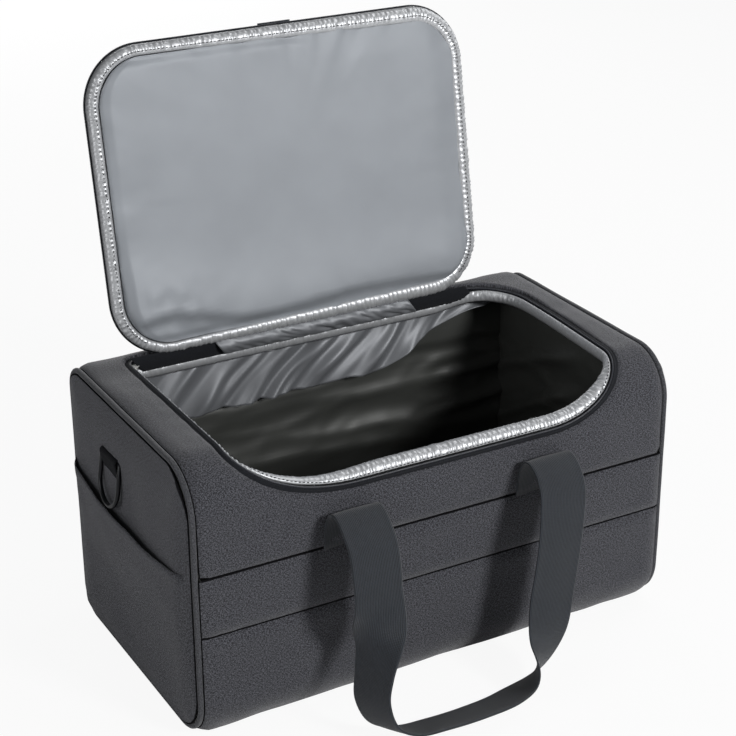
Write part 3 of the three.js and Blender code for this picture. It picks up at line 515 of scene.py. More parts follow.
def fan_out(x, s, far_x, far_low, far_high):
    """Where a mouth point's row ends on a larger outline: the mouth's corner rows fan out to it."""
    tx = x / mouth_half
    ts = (s - mid_s) / ((mouth_front - mouth_rear) / 2)
    reach = max(abs(tx), abs(ts))
    far_s = far_high - mid_s if ts > 0 else mid_s - far_low
    return tx / reach * far_x, mid_s + ts / reach * far_s


rings = []
for t in [k / 10 for k in range(10)] + [0.985, 1]:
    ring = []
    for (x, s, _, _), (ex, es, _, _) in zip(mouth_line, moved(mouth_line, 7.5 * mm)):
        fx, fs = fan_out(x, s, wrap_end, panel_low, panel_high)
        ring.append((ex + (fx - ex) * t, es + (fs - es) * t))
    rings.append(ring)
turned_under = [(x, s, -2.2 * mm) for x, s, _, _ in moved(mouth_line, 8.6 * mm)]
hem_edge = [(x, s, -0.9 * mm) for x, s, _, _ in moved(mouth_line, 7.3 * mm)]
laid = turned_under + hem_edge + [(x, s, None) for ring in rings for x, s in ring]
points = [skin(x, s, swell(x, s) if out is None else out) for x, s, out in laid]
count = len(mouth_line)
# The cut edge and the outermost ring of the top are in painted seam shade.
top = mesh_piece("canvas_top", points, flipped(grid_faces(len(rings) + 2, count, True)),
                 [(x, s) for x, s, _ in laid], canvas, 1.3 * mm, seam_shade,
                 range((len(rings) + 1) * count - count, (len(rings) + 1) * count))
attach(top, "bag")
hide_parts("top_panel")


# End panels: the same canvas over foam, cut to the bag's outline and sewn to the wrap with a piping
# cord between them, so each end swells a little from its edge to the middle.
def end_swell(y, z, edge):
    return smooth(edge / (26 * mm)) * 3.2 * mm - 1.3 * mm * math.exp(-max(edge, 0) / (1.6 * mm)) + smooth(
        edge / (10 * mm)) * (
        1.6 * mm * rough_at(y, z, 5, 80 * mm, 23) + 0.5 * mm * rough_at(y, z, 2, 28 * mm, 29))


def disc_faces(rings, n):
    """Faces of rings of n points drawn in to the middle, and one face over the last ring."""
    return grid_faces(rings, n, True) + [tuple((rings - 1) * n + k for k in range(n))]


end_line = [round_bag(s) for s in spread(0, girth, 5 * mm)[:-1]]
centre_y, centre_z = -2 * mm, 140 * mm
end_inset, weave_scale = 5.4 * mm, 0.8
end_rings = [1, 0.991, 0.98, 0.95, 0.9, 0.84, 0.76, 0.67, 0.58, 0.49, 0.4, 0.31, 0.22, 0.13, 0.05]
for word, side in (("left", -1), ("right", 1)):
    points, uvs = [], []
    for t in end_rings:
        for y, z, oy, oz in end_line:
            ey, ez = y - oy * end_inset, z - oz * end_inset
            py, pz = centre_y + (ey - centre_y) * t, centre_z + (ez - centre_z) * t
            edge = min(half_depth - end_inset - abs(py), pz - end_inset, height - end_inset - pz)
            points.append(Vector((side * (length / 2 + end_swell(py, pz, edge)), py, pz)))
            uvs.append((py * weave_scale, pz * weave_scale))
    n = len(end_line)
    faces = disc_faces(len(points) // n, n)
    if side > 0:
        faces = flipped(faces)
    # The cut edge and the outermost ring of each end are in painted seam shade beside the piping.
    piece = mesh_piece(f"canvas_end_{word}", points, faces, uvs, canvas, canvas_thick, seam_shade, range(n))
    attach(piece, "bag")
    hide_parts(f"end_panel_{word}")


# Piping: a cord wrapped in a bias strip of the same canvas, sewn in round each end. It is darker
# than the panels.
piping_canvas = cloth_material("piping_canvas", (0.018, 0.019, 0.022), (0.046, 0.047, 0.053),
                               (0.088, 0.090, 0.100), bump=0.3)


def capped_faces(rings, n):
    """Faces of a cord or strap: rings of n points one after another, closed at both ends."""
    ends = [tuple(reversed(range(n))), tuple((rings - 1) * n + k for k in range(n))]
    return grid_faces(rings, n, True) + ends


def tube(name, centres, frames, radius, sides, material, closed=True, radii=None):
    """A round cord along centres, with a pair of cross directions at each."""
    points, uvs, run = [], [], 0.0
    for i, (centre, (a, b)) in enumerate(zip(centres, frames)):
        if i:
            run += (centre - centres[i - 1]).length
        r = radius if radii is None else radii[i]
        for k in range(sides):
            angle = 2 * math.pi * k / sides
            points.append(centre + (a * math.cos(angle) + b * math.sin(angle)) * r)
            uvs.append((run, 2 * math.pi * r * k / sides))
    if closed:
        n = (len(centres) - 1) * sides
        faces = grid_faces(len(centres), sides, True)
        faces += [(n + j, n + (j + 1) % sides, (j + 1) % sides, j) for j in range(sides)]
    else:
        faces = capped_faces(len(centres), sides)
    return mesh_piece(name, points, faces, uvs, material)


cord_radius, cord_inset, cord_sunk = 2.8 * mm, 2.4 * mm, 2.85 * mm
for word, side in (("left", -1), ("right", 1)):
    centres, frames = [], []
    for s in spread(0, girth, 4 * mm)[:-1]:
        y, z, oy, oz = round_bag(s)
        lift = 0 if z < 20 * mm else 0.5 * mm * rough_at(y, z, side, 45 * mm, 31)
        sunk = cord_sunk - lift
        centres.append(Vector((side * (length / 2 - cord_inset), y - oy * sunk, z - oz * sunk)))
        frames.append((Vector((side, 0, 0)), Vector((0, oy, oz))))
    piece = tube(f"piping_cord_{word}", centres, frames, cord_radius, 12, piping_canvas)
    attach(piece, "bag")
    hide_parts(f"piping_{word}")


# Slip pockets: a single layer of canvas on each end, sewn in with the piping at its sides and foot.
# Its top edge is hemmed, dips in the middle and stands a little open.
pocket_inset = 5.8 * mm
pocket_height, scoop_depth = 181 * mm, 12 * mm
scoop_middle, scoop_half = -15 * mm, 160 * mm


def pocket_top(y):
    return pocket_height - scoop_depth * (1 - ((y - scoop_middle) / scoop_half) ** 2)


def pocket_foot(y):
    """Height of the bag's outline at the pocket's foot, inside the piping."""
    for centre, radius, beyond in ((front_bottom - half_depth, front_bottom, y < front_bottom - half_depth),
                                   (half_depth - back_bottom, back_bottom, y > half_depth - back_bottom)):
        if beyond:
            return radius - math.sqrt(max(0.0, (radius - pocket_inset) ** 2 - (y - centre) ** 2))
    return pocket_inset


for word, side in (("left", -1), ("right", 1)):
    half = half_depth - pocket_inset
    steps_across, steps_up = 56, 34
    columns = [-half * math.cos(math.pi * k / steps_across) for k in range(steps_across + 1)]
    rows = [k / steps_up for k in range(steps_up + 1)]
    points, uvs = [], []
    for t in rows:
        for y in columns:
            z = pocket_foot(y) + (pocket_top(y) - pocket_foot(y)) * t
            edge = min(half - abs(y), z - 6 * mm)
            gape = 1 - ((y - 20 * mm) / (150 * mm)) ** 2
            slack = smooth(edge / (20 * mm)) * (1.0 * mm + 8.0 * mm * gape * smooth((t - 0.45) / 0.55))
            hem = 0.7 * mm * smooth((t - 0.925) / 0.02)
            crease = 0.7 * mm * rough_at(y, z, 9, 40 * mm, 37) * smooth(edge / (16 * mm))
            out = 0.5 * mm + end_swell(y, z, edge) + slack + hem + crease
            points.append(Vector((side * (length / 2 + out), y, z)))
            uvs.append((y * weave_scale, z * weave_scale))
    faces = grid_faces(len(rows), len(columns))
    if side > 0:
        faces = flipped(faces)
    piece = mesh_piece(f"canvas_pocket_{word}", points, faces, uvs, canvas, -1.0 * mm)
    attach(piece, "bag")
    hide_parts(f"side_pocket_{word}")


# Foam and base board: closed-cell foam sheets behind every panel, and a stiff board under the base
# foam. They are sewn in between the canvas and the liner, and nothing of them shows from outside.
foam_sheet = plain_material("closed_cell_foam", (0.76, 0.76, 0.73), 0.9, 700, 0.5)
stiff_board = plain_material("stiff_board", (0.022, 0.022, 0.024), 0.6, 300, 0.2)
for name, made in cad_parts.items():
    if "foam" in name or name == "base_board":
        made.data.materials.clear()
        made.data.materials.append(stiff_board if name == "base_board" else foam_sheet)


# Liner: a welded tub of metallised film, hung from the mouth. It is cut larger than the bag, so it
# lies in long soft folds, and it is bright where it catches the light and near black where it doesn't.
crinkle = effect("film_crinkle", {"Map": None, "Size": 0.03, "Fine": 0.3}, {"Height": "NodeSocketFloat"})
ins = node(crinkle, "NodeGroupInput")
per_metre = maths(crinkle, "DIVIDE", 1.0, ins.outputs["Size"])
scaled = node(crinkle, "ShaderNodeVectorMath", {0: ins.outputs["Map"], "Scale": per_metre},
              operation="SCALE")
creases = node(crinkle, "ShaderNodeTexNoise", {"Vector": scaled.outputs[0], "Scale": 1.0, "Detail": 4.0,
                                               "Roughness": 0.55, "Distortion": 0.6})
fold = maths(crinkle, "ABSOLUTE", maths(crinkle, "SUBTRACT", creases.outputs["Fac"], 0.5))
facets = node(crinkle, "ShaderNodeTexVoronoi", {"Vector": scaled.outputs[0], "Scale": 2.2},
              feature="F1", distance="EUCLIDEAN")
finer = maths(crinkle, "MULTIPLY", facets.outputs["Distance"], ins.outputs["Fine"])
node(crinkle, "NodeGroupOutput", {"Height": maths(crinkle, "ADD", fold, finer)})


def film_material(name, colour, metal, rough, size, fine, bump, coat=0.0):
    """Metallised film: a bright layer under clear plastic, with creases."""
    material, tree, shader = new_material(name)
    place = node(tree, "ShaderNodeTexCoord")
    creased = node(tree, "ShaderNodeGroup", node_tree=crinkle)
    tree.links.new(place.outputs["Object"], creased.inputs["Map"])
    creased.inputs["Size"].default_value = size
    creased.inputs["Fine"].default_value = fine
    cloud = node(tree, "ShaderNodeTexNoise", {"Vector": place.outputs["Object"], "Scale": 22.0,
                                              "Detail": 2.0})
    set_tones(tree, shader, cloud.outputs["Fac"], [c * 0.96 for c in colour],
              [min(1, c * 1.03) for c in colour], 0.3, 0.7)
    set_relief(tree, shader, creased.outputs["Height"], bump, 0.002)
    shader.inputs["Metallic"].default_value = metal
    shader.inputs["Roughness"].default_value = rough
    shader.inputs["Coat Weight"].default_value = coat
    shader.inputs["Coat Roughness"].default_value = 0.2
    return material


tub_film = film_material("tub_film", (0.048, 0.050, 0.046), 0.25, 0.5, 0.07, 0.05, 0.14, 0.3)
# Painted light: this copy of the liner film is toned lighter than the tub, for where the upper back wall
# catches the light.
painted_light_film = film_material("painted_light_film", (0.168, 0.175, 0.187), 0.3, 0.48, 0.05, 0.0, 0.12)
silver_film = film_material("silver_film", (0.47, 0.48, 0.495), 0.45, 0.42, 0.012, 0.0, 0.25)
satin_film = film_material("satin_film", (0.275, 0.293, 0.318), 0.12, 0.55, 0.12, 0.0, 0.04)

cavity = 10.5 * mm
tub_end = 244 * mm
tub_taper = 0.012
tub_front_edge, tub_back_edge = seam_high - 20 * mm, back_high - 4 * mm
folded_walls = ((seam_high, starts[4]), (starts[5], back_high + girth))


def hem(x):
    """Height on the back wall where the loose upper film turns under."""
    return (208 + 2 * smooth((x / mm + 210) / 330) + 7 * noise.noise(Vector((x / (55 * mm), 4, 0)))) * mm


def slack(x, y, z):
    """How far the loose film stands in from the walls. Under the rear rim it hangs in a slack fold."""
    back = smooth((y - 70 * mm) / (30 * mm))
    above = z - hem(x)
    hung = smooth(above / (7 * mm) + 0.5) * (1 - 0.75 * smooth((above - 6 * mm) / (55 * mm)))
    ridge = 0.5 - abs(rough_at(x * 0.4 + z * 0.15, y * 0.5, z * 1.5, 48 * mm, 43))
    crease = 0.5 - abs(rough_at(x * 0.8 - z * 0.5, y, z * 1.1, 30 * mm, 47))
    calm = 0.25 + 0.75 * smooth((z - 25 * mm) / (60 * mm))
    behind = 1 - back * smooth((above + 16 * mm) / (8 * mm))
    return (1.0 + back * hung * 3 + behind * calm * (6 * ridge + 2.2 * crease)) * mm


def long_folds(x, s):
    """Folds along a wall. They wander up and down a little from end to end."""
    s = s % girth
    s += 12 * mm * rough_at(x, s, 0, 150 * mm, 45)
    for low, high in folded_walls:
        if low < s < high:
            back_top = smooth((s - on_back(175 * mm)) / (12 * mm))
            return 5 * mm * (1 - back_top) * math.sin(math.pi * 3 * (s - low) / (high - low)) ** 2
    return 0.0


def drawn(across, z, creases, width):
    """Sharp creases across a wall, each given by its height, fall and bend over the run across, in mm."""
    a, height = across / mm, z / mm
    return sum(math.exp(-((height - (start - fall * a - bend * a * a)) / width) ** 2)
               for start, fall, bend in creases)


def tub_point(x, s, sunk):
    y, z, oy, oz = round_bag(s)
    deep = sunk + slack(x, y, z) + long_folds(x, s)
    if y > 100 * mm:
        creased = drawn(x, z, ((178, 0.02, 0), (112, -0.12, 0)), 7)
        deep += 7 * mm * smooth((x - 120 * mm) / (90 * mm)) * creased
    return Vector((x * (1 - tub_taper), y - oy * deep, z - oz * deep))


rows = spread(tub_front_edge, tub_back_edge + girth, 4 * mm)
columns = spread(-tub_end, tub_end, 4.5 * mm)
points = [tub_point(x, s, cavity) for s in rows for x in columns]
uvs = [(x, s) for s in rows for x in columns]
mesh_piece("liner_walls", points, flipped(grid_faces(len(rows), len(columns))), uvs, tub_film)

rim_depth = 11 * mm
rim_rows = []
for k in range(9):
    t = k / 8
    ring = []
    for (x, s, _, _), (ex, es, _, _) in zip(mouth_line, moved(mouth_line, -2 * mm)):
        fx, fs = fan_out(x, s, tub_end, tub_back_edge, tub_front_edge)
        ring.append((ex + (fx - ex) * t, es + (fs - es) * t, t))
    rim_rows.append(ring)
points = []
for ring in rim_rows:
    for x, s, t in ring:
        y, z, oy, oz = round_bag(s)
        deep = rim_depth + (cavity + slack(x, y, z) - rim_depth) * smooth(t)
        points.append(Vector((x * (1 - tub_taper * t), y - oy * deep, z - oz * deep)))
mesh_piece("liner_shoulder", points, grid_faces(len(rim_rows), count, True),
           [(x, s) for ring in rim_rows for x, s, _ in ring], tub_film)

tub_outline = [round_bag(s) for s in spread(0, girth, 7 * mm)[:-1]]
for word, side in (("left", -1), ("right", 1)):
    points, uvs = [], []
    for t in [1, 0.97, 0.94] + [0.9 - 0.04 * k for k in range(22)]:
        for y, z, oy, oz in tub_outline:
            deep = cavity + slack(side * tub_end, y, z)
            ey, ez = y - oy * deep, z - oz * deep
            py, pz = centre_y + (ey - centre_y) * t, centre_z + (ez - centre_z) * t
            inward = 3 * mm + slack(side * tub_end, py, pz) * (1 - t) ** 0.5
            if side > 0:
                inward += 9 * mm * smooth((1 - t) / 0.1) * smooth((py + 40 * mm) / (60 * mm)) * drawn(
                    py, pz, ((228, 0.3, 0.0012), (184, 0.53, 0.0005)), 8)
            points.append(Vector((side * (tub_end - inward), py, pz)))
            uvs.append((py, pz))
    n = len(tub_outline)
    faces = disc_faces(len(points) // n, n)
    if side < 0:
        faces = flipped(faces)
    mesh_piece(f"liner_end_{word}", points, faces, uvs, tub_film)

for name in ("liner_walls", "liner_shoulder", "liner_end_left", "liner_end_right"):
    piece = bpy.data.objects[name]
    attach(piece, "bag")
    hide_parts("liner_tub")


# Painted light on the upper back wall: a loose strip of film, toned lighter than the tub, hangs from
# the rear of the mouth down the back wall where it catches the light. It is pulled askew, so its folds
# run down to the left, and its lower edge waves.
points, uvs = [], []
facing_top = 266 * mm
facing_rows, facing_columns = spread(0, 1, 0.03), spread(-214 * mm, 226 * mm, 3 * mm)
for t in facing_rows:
    for x in facing_columns:
        low = hem(x) - 6 * mm + 50 * mm * smooth((x - 60 * mm) / (150 * mm))
        z = facing_top + (low - facing_top) * t
        along = x - 1.25 * z + 46 * mm * rough_at(x, z, 0, 120 * mm, 71)
        folds = abs(math.sin(along / (15 * mm))) ** 1.5 * (0.7 + 1.5 * rough_at(x, z, 0, 70 * mm, 72))
        fine = rough_at(along * 1.2, z * 0.25, 0, 17 * mm, 73)
        stand = (12.5 + smooth(t / 0.2) * (5 + 8 * t + 8 * folds + 4.5 * fine)) * mm
        points.append(Vector((x * (1 - 0.02 * t), half_depth - 1.5 * mm - stand, z)))
        uvs.append((x, z))
facing = mesh_piece("liner_painted_light_strip", points, grid_faces(len(facing_rows), len(facing_columns)), uvs,
                    painted_light_film, -0.4 * mm)
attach(facing, "bag")


# Rim: the zip's tape is sewn under the cloth's edge, with its row of coil standing on it. A gathered
# silver band joins it to the liner, folded over so that it shows as a bright puckered strip.
tape_weave = cloth_material("zip_tape", (0.004, 0.0045, 0.006), (0.008, 0.009, 0.012), (0.015, 0.017, 0.022),
                            thread=0.0007, slub=1.0, bump=0.5, rough=0.85, sheen=0.03)
coil_plastic = plain_material("coil_plastic", (0.03, 0.032, 0.04), 0.4, 900, 0.3)


def ribbon(name, line, section, place, material, closed=True, thick=0.0, flip=False):
    """A strip along an outline. section(i, run) gives its (offset, out) corners at the i-th point."""
    points, uvs, run = [], [], 0.0
    for i, (x, s, ox, os) in enumerate(line):
        if i:
            run += math.hypot(x - line[i - 1][0], s - line[i - 1][1])
        corners = section(i, run)
        for offset, out in corners:
            points.append(place(x + ox * offset, s + os * offset, out))
            uvs.append((run, offset))
    size = len(corners)
    faces = grid_faces(len(line), size)
    if closed:
        n = (len(line) - 1) * size
        faces += [(n + j, n + j + 1, j + 1, j) for j in range(size - 1)]
    if flip:
        faces = flipped(faces)
    return mesh_piece(name, points, faces, uvs, material, thick)


def cut_line(line, half):
    """The outline without its rear stretch nearer the middle than half."""
    rear = min(s for _, s, _, _ in line)
    kept = [p for p in line if not (p[1] < rear + 1e-6 and abs(p[0]) < half)]
    return [(-half, rear, 0, -1)] + kept + [(half, rear, 0, -1)]


zip_line = cut_line(rim_line(4 * mm), 99 * mm)
tape_section = [(1.6 * mm, -2.4 * mm), (2.4 * mm, -0.2 * mm), (3.4 * mm, 0.5 * mm), (4.4 * mm, 0.1 * mm),
                (5.2 * mm, -0.7 * mm), (6.6 * mm, -0.4 * mm), (8 * mm, -0.9 * mm), (12.5 * mm, -2.8 * mm)]
tape = ribbon("zip_tape_body", zip_line, lambda i, run: tape_section, skin, tape_weave, closed=False,
              thick=0.7 * mm, flip=True)
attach(tape, "bag")
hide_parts("zip_body")


def coil_row(name, line, place, middle, out):
    """A row of coil: a cord whose thickness beats once for every turn of the coil."""
    half_turn, thin = 0.65 * mm, 0.72
    fine = []
    for (x0, s0, ox0, os0), (x1, s1, ox1, os1) in zip(line, line[1:]):
        count = max(1, round(math.hypot(x1 - x0, s1 - s0) / half_turn))
        for k in range(count):
            t = k / count
            fine.append((x0 + (x1 - x0) * t, s0 + (s1 - s0) * t,
                         ox0 + (ox1 - ox0) * t, os0 + (os1 - os0) * t))
    centres = [place(x + ox * middle, s + os * middle, out) for x, s, ox, os in fine]
    frames = []
    for (x, s, ox, os), centre in zip(fine, centres):
        side = (place(x + ox * (middle + mm), s + os * (middle + mm), out) - centre).normalized()
        frames.append((side, (place(x + ox * middle, s + os * middle, out + mm) - centre).normalized()))
    radii = [(1.0 if i % 2 else thin) * mm for i in range(len(fine))]
    piece = tube(name, centres, frames, mm, 6, coil_plastic, closed=False, radii=radii)
    return piece


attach(coil_row("zip_coil_body", zip_line, skin, 1.7 * mm, 0.3 * mm), "bag")

band_line = rim_line(1.0 * mm)


def gathers(run, seed):
    """Pleats of a gathered band: uneven, and sharp at their tops."""
    warp = 2.6 * noise.noise(Vector((run / (9 * mm), seed, 0)))
    pleat = 0.5 - abs(math.sin(run / (1.75 * mm) + warp))
    return 0.9 * pleat + 1.0 * noise.noise(Vector((run / (8 * mm), seed + 5, 0)))


steep_rim = ((1.0, -2.8), (-0.6, -1.0), (-1.8, -1.6), (-2.6, -3.2), (-3.2, -5.2), (-3.4, -7.4), (-3.0, -9.4),
             (-2.0, -11.4), (0, -14))
leaning_rim = ((1.0, -2.8), (-0.8, -0.8), (-3.6, -0.6), (-6.8, -1.8), (-9.8, -4.0), (-11.8, -7.2),
               (-12.2, -11), (-10.0, -15.5), (-4, -20))


def rim_section(i, run):
    """The band stands up and leans in along the front, and hangs straight down elsewhere."""
    x, s = band_line[i][:2]
    front = smooth((s - 215 * mm) / (60 * mm)) * (0.45 + 0.55 * smooth((x + 150 * mm) / (90 * mm)))
    live = 0.4 + 0.6 * smooth((noise.noise(Vector((run / (90 * mm), 3, 0))) + 0.25) / 0.5)
    outer, inner = gathers(run, 1), gathers(run, 9)
    puckers = (0, 0.3, outer, outer, inner, inner, inner, 0, 0)
    hung = 8 * smooth((45 * mm - s) / (30 * mm)) * smooth((205 * mm - x) / (70 * mm)) * smooth(
        (x + 212 * mm) / (14 * mm))
    corners = []
    for (a, b), (c, d), pucker in zip(steep_rim, leaning_rim, puckers):
        offset, out = a + (c - a) * front, b + (d - b) * front
        rise = pucker * live * (0.6 + 0.6 * front)
        corners.append(((offset - pucker * live) * mm, (out - hung + rise) * mm))
    return corners


band = ribbon("silver_rim", band_line, rim_section, skin, silver_film, flip=True, thick=0.3 * mm)
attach(band, "bag")
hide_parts("rim_band")


# Stitches: one row along the foot of the silver band holds it to the tape. Each stitch shows as a
# short dark dash.
thread_black = plain_material("sewing_thread", (0.012, 0.012, 0.014), 0.7, 2000, 0.1)
stitch_faces = ((0, 1, 3, 2), (4, 6, 7, 5), (0, 4, 5, 1), (2, 3, 7, 6), (0, 2, 6, 4), (1, 5, 7, 3))


def stitch_row(name, line, place, offset, out, pitch=4.2 * mm, size=(2.2 * mm, 0.8 * mm, 0.5 * mm)):
    """Dashes along an outline. offset and out may be numbers or functions of (x, s)."""
    points, faces, uvs, due = [], [], [], 0.0
    for (x0, s0, ox, os), (x1, s1, _, _) in zip(line, line[1:]):
        gap = math.hypot(x1 - x0, s1 - s0)
        while due < gap:
            t = due / gap
            x, s = x0 + (x1 - x0) * t, s0 + (s1 - s0) * t
            a = offset(x, s) if callable(offset) else offset
            b = out(x, s) if callable(out) else out
            middle = place(x + ox * a, s + os * a, b)
            along = (place(x + ox * a + os * mm, s + os * a - ox * mm, b) - middle).normalized()
            through = (place(x + ox * a, s + os * a, b + mm) - middle).normalized()
            aside = along.cross(through)
            first = len(points)
            for i in (-0.5, 0.5):
                for j in (-0.5, 0.5):
                    for k in (-0.5, 0.5):
                        bend = 1 - 0.4 * (k > 0)
                        points.append(middle + along * (i * size[0] * bend) + aside * (j * size[1] * bend)
                                      + through * (k * size[2]))
                        uvs.append((x, s))
            faces += [tuple(first + v for v in face) for face in stitch_faces]
            due += pitch
        due -= gap
    return mesh_piece(name, points, faces, uvs, thread_black)


front_stretch = [p for p in band_line if p[1] > 235 * mm]
piece = stitch_row("rim_stitches", front_stretch, skin, -2.4 * mm, 0.2 * mm)
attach(piece, "bag")


# Lid: canvas outside, foam, and a satin lining inside, with the zip and a gathered silver band round
# its edge. Each layer is made flat for the whole lid and then parted in the middle of its bend.
lid_rear, lid_front, lid_corner, lid_half = -4 * mm, 304 * mm, 61 * mm, 210 * mm
lid_slump = -14 * mm
first_fold, second_fold = 229.882 * mm, 269.647 * mm
hinge_y, hinge_z, lean = 113 * mm, 283.5 * mm, math.radians(100)


def on_lid(x, s, out=0.0):
    """Place on the lid's outer face, s forward of the hinge; out is away from the lining."""
    y, z = -s, -3.5 * mm + out
    return Vector((x + lid_slump, hinge_y + y * math.cos(lean) + z * math.sin(lean),
                   hinge_z - y * math.sin(lean) + z * math.cos(lean)))


def part_at_bend(piece, nodes):
    """Parts a lid layer in the middle of the bend panel into two pieces and hides the parts they replace."""
    middle = on_lid(0, (first_fold + second_fold) / 2)
    forward = (on_lid(0, 0.1) - on_lid(0, 0)).normalized()
    lip = bpy.data.objects.new(piece.name + "_lip", piece.data.copy())
    bpy.context.scene.collection.objects.link(lip)
    for half, outer in ((piece, True), (lip, False)):
        shape = bmesh.new()
        shape.from_mesh(half.data)
        bmesh.ops.bisect_plane(shape, geom=shape.verts[:] + shape.edges[:] + shape.faces[:], plane_co=middle,
                               plane_no=forward, clear_outer=outer, clear_inner=not outer)
        for edge in [e for e in shape.edges if e.is_boundary]:
            edge.smooth = False
        bmesh.ops.holes_fill(shape, edges=[e for e in shape.edges if e.is_boundary], sides=0)
        shape.to_mesh(half.data)
        shape.free()
    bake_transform(piece)
    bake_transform(lip)
    for half, replaced in ((piece, nodes[0]), (lip, nodes[1])):
        if replaced:
            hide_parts(*replaced)
    return piece, lip


def lid_sheet(name, inset, out, bulge, material, thick, facing, step=4 * mm):
    """A sheet that fills the lid's outline, drawn in rows from the hinge to the lip."""
    half, low, high, corner = lid_half - inset, lid_rear + inset, lid_front - inset, lid_corner - inset
    turns = [k / 14 * quarter for k in range(15)]
    rows = [low + corner * (1 - math.cos(a)) for a in turns]
    rows += spread(low + corner, high - corner, step)[1:-1]
    rows += [high - corner * (1 - math.cos(a)) for a in reversed(turns)]
    columns = [k / 96 * 2 - 1 for k in range(97)]
    points, uvs = [], []
    for s in rows:
        short = max(low + corner - s, s - (high - corner), 0.0)
        wide = half - corner + math.sqrt(max(0.0, corner ** 2 - short ** 2))
        for c in columns:
            x = c * wide
            edge = min(wide - abs(x), s - low, high - s)
            points.append(on_lid(x, s, out + bulge(x, s, edge)))
            uvs.append((x, s))
    faces = grid_faces(len(rows), len(columns))
    if facing > 0:
        faces = flipped(faces)
    return mesh_piece(name, points, faces, uvs, material, thick)


def cover_bulge(x, s, edge):
    return smooth(edge / (14 * mm)) * (1.6 * mm + 1.0 * mm * rough_at(x, s, 0, 80 * mm, 51)) + (
        0.4 * mm * rough_at(x * 2, s * 2, 0, 24 * mm, 53))


cover = lid_sheet("lid_canvas", 5.6 * mm, 0, cover_bulge, canvas, canvas_thick, 1)
for half in part_at_bend(cover, (["lid_cover_main", "lid_cover_bend"], ["lid_cover_lip"])):
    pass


foam = lid_sheet("lid_foam_sheet", 15 * mm, -2.6 * mm, cover_bulge, foam_sheet, 5 * mm, 1)
part_at_bend(foam, (["lid_foam_main", "lid_foam_bend"], ["lid_foam_lip"]))


def lining_bulge(x, s, edge):
    """The lining is cut slack: puckers run in from its edge, and folds sag along the lower side."""
    around = math.atan2(s - 148 * mm, x) * 190 * mm
    live = 0.55 + 0.9 * rough_at(x, s, 0, 90 * mm, 56)
    pucker = rough_at(around, edge * 0.3, 0, 13 * mm, 57) * math.exp(-edge / (17 * mm)) * live
    broad = rough_at(around * 0.5, edge * 0.3, 0, 17 * mm, 58) * math.exp(-edge / (30 * mm))
    drop = s - (27 + 13 * math.exp(-((x + 150 * mm) / (50 * mm)) ** 2) + 2.5 * math.sin(x / (38 * mm))) * mm
    sag = 7.5 * math.exp(-(drop / ((7.5 if drop < 0 else 46) * mm)) ** 2)
    corner = 3.2 * math.exp(-(math.hypot(x + 150 * mm, s - 40 * mm) / (34 * mm)) ** 2) * (
        0.5 + rough_at(x + s, x - s, 0, 22 * mm, 60))
    soft = 1.2 * rough_at(x, s, 0, 120 * mm, 59) + 2.6
    taper = smooth(edge / ((9 + 24 * smooth(x / (80 * mm))) * mm))
    loose = soft * taper + sag + corner
    return -smooth(edge / (9 * mm)) * loose * mm - (2.6 * pucker + 2.2 * broad) * mm


lining = lid_sheet("lid_satin_lining", 14 * mm, -10.2 * mm, lining_bulge, satin_film, 0.5 * mm, -1)
for half in part_at_bend(lining, (["lid_lining_main", "lid_lining_bend"], ["lid_lining_lip"])):
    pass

lid_corners = ((lid_corner, lid_corner),) * 4
lid_line = rounded_line(lid_half, lid_rear, lid_front, lid_corners, 1.1 * mm)


def lid_band_section(i, run):
    """The band rolls over the lid's edge. It is pulled narrow on the left and lies wide on the right."""
    g, h = gathers(run, 21), gathers(run, 33)
    x = lid_line[i][0]
    wide = 0.78 + 0.3 * smooth((x + 180 * mm) / (360 * mm))
    section = ((-2.6, -2.6, 0), (-3.0, -5.0, 0.5 * g), (-3.9 * wide, -8.0, 1.0 * g),
               (-5.6 * wide, -10.2, 1.2 * g), (-8.8 * wide, -11.4, 1.2 * h), (-12.4 * wide, -11.8, 1.0 * h),
               (-15.6 * wide, -11.0, 0.6 * g), (-17.2 * wide, -9.4, 0))
    return [((a + 0.6 * puff) * mm, (b - 0.8 * puff) * mm) for a, b, puff in section]


band = ribbon("lid_silver_band", lid_line, lid_band_section, on_lid, silver_film, flip=False, thick=0.3 * mm)
for half in part_at_bend(band, (
        ["lid_band_main", "lid_band_bend_left", "lid_band_bend_right"], ["lid_band_lip"])):
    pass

side_stretch = [p for p in lid_line if p[1] > 8 * mm]


def stitch_inset(x, s):
    """The stitches lie further in on the right, where the band is wide."""
    return (-9 - 2.8 * smooth((x + 180 * mm) / (360 * mm))) * mm


lid_stitches = stitch_row("lid_band_stitches", side_stretch, on_lid, stitch_inset, -12.9 * mm)
part_at_bend(lid_stitches, ([], []))

lid_zip_line = cut_line(rounded_line(lid_half, lid_rear, lid_front, lid_corners, 4 * mm), 119 * mm)
lid_tape_section = [(-2.2 * mm, -2.6 * mm), (-2.6 * mm, -1.6 * mm), (-4.4 * mm, -1.4 * mm),
                    (-7.8 * mm, -2.6 * mm)]
tape = ribbon("lid_zip_tape", lid_zip_line, lambda i, run: lid_tape_section, on_lid, tape_weave,
              closed=False, thick=0.7 * mm)
part_at_bend(tape, (["zip_main_left", "zip_main_right", "zip_bend_left", "zip_bend_right"],
                                 ["zip_lip"]))
part_at_bend(coil_row("lid_zip_coil", lid_zip_line, on_lid, -1.9 * mm, -1.2 * mm), ([], []))


# Lid hinge: a strip of dark tape and a leaf of canvas outside it, sewn to the lid and to the rear of
# the mouth, with a silver flap over the seam inside. They hold the lid when the zip is open.
hinge_rows = 12
start, end = skin(0, mouth_rear + 2.5 * mm, -12 * mm), on_lid(0, 1 * mm, -6 * mm)


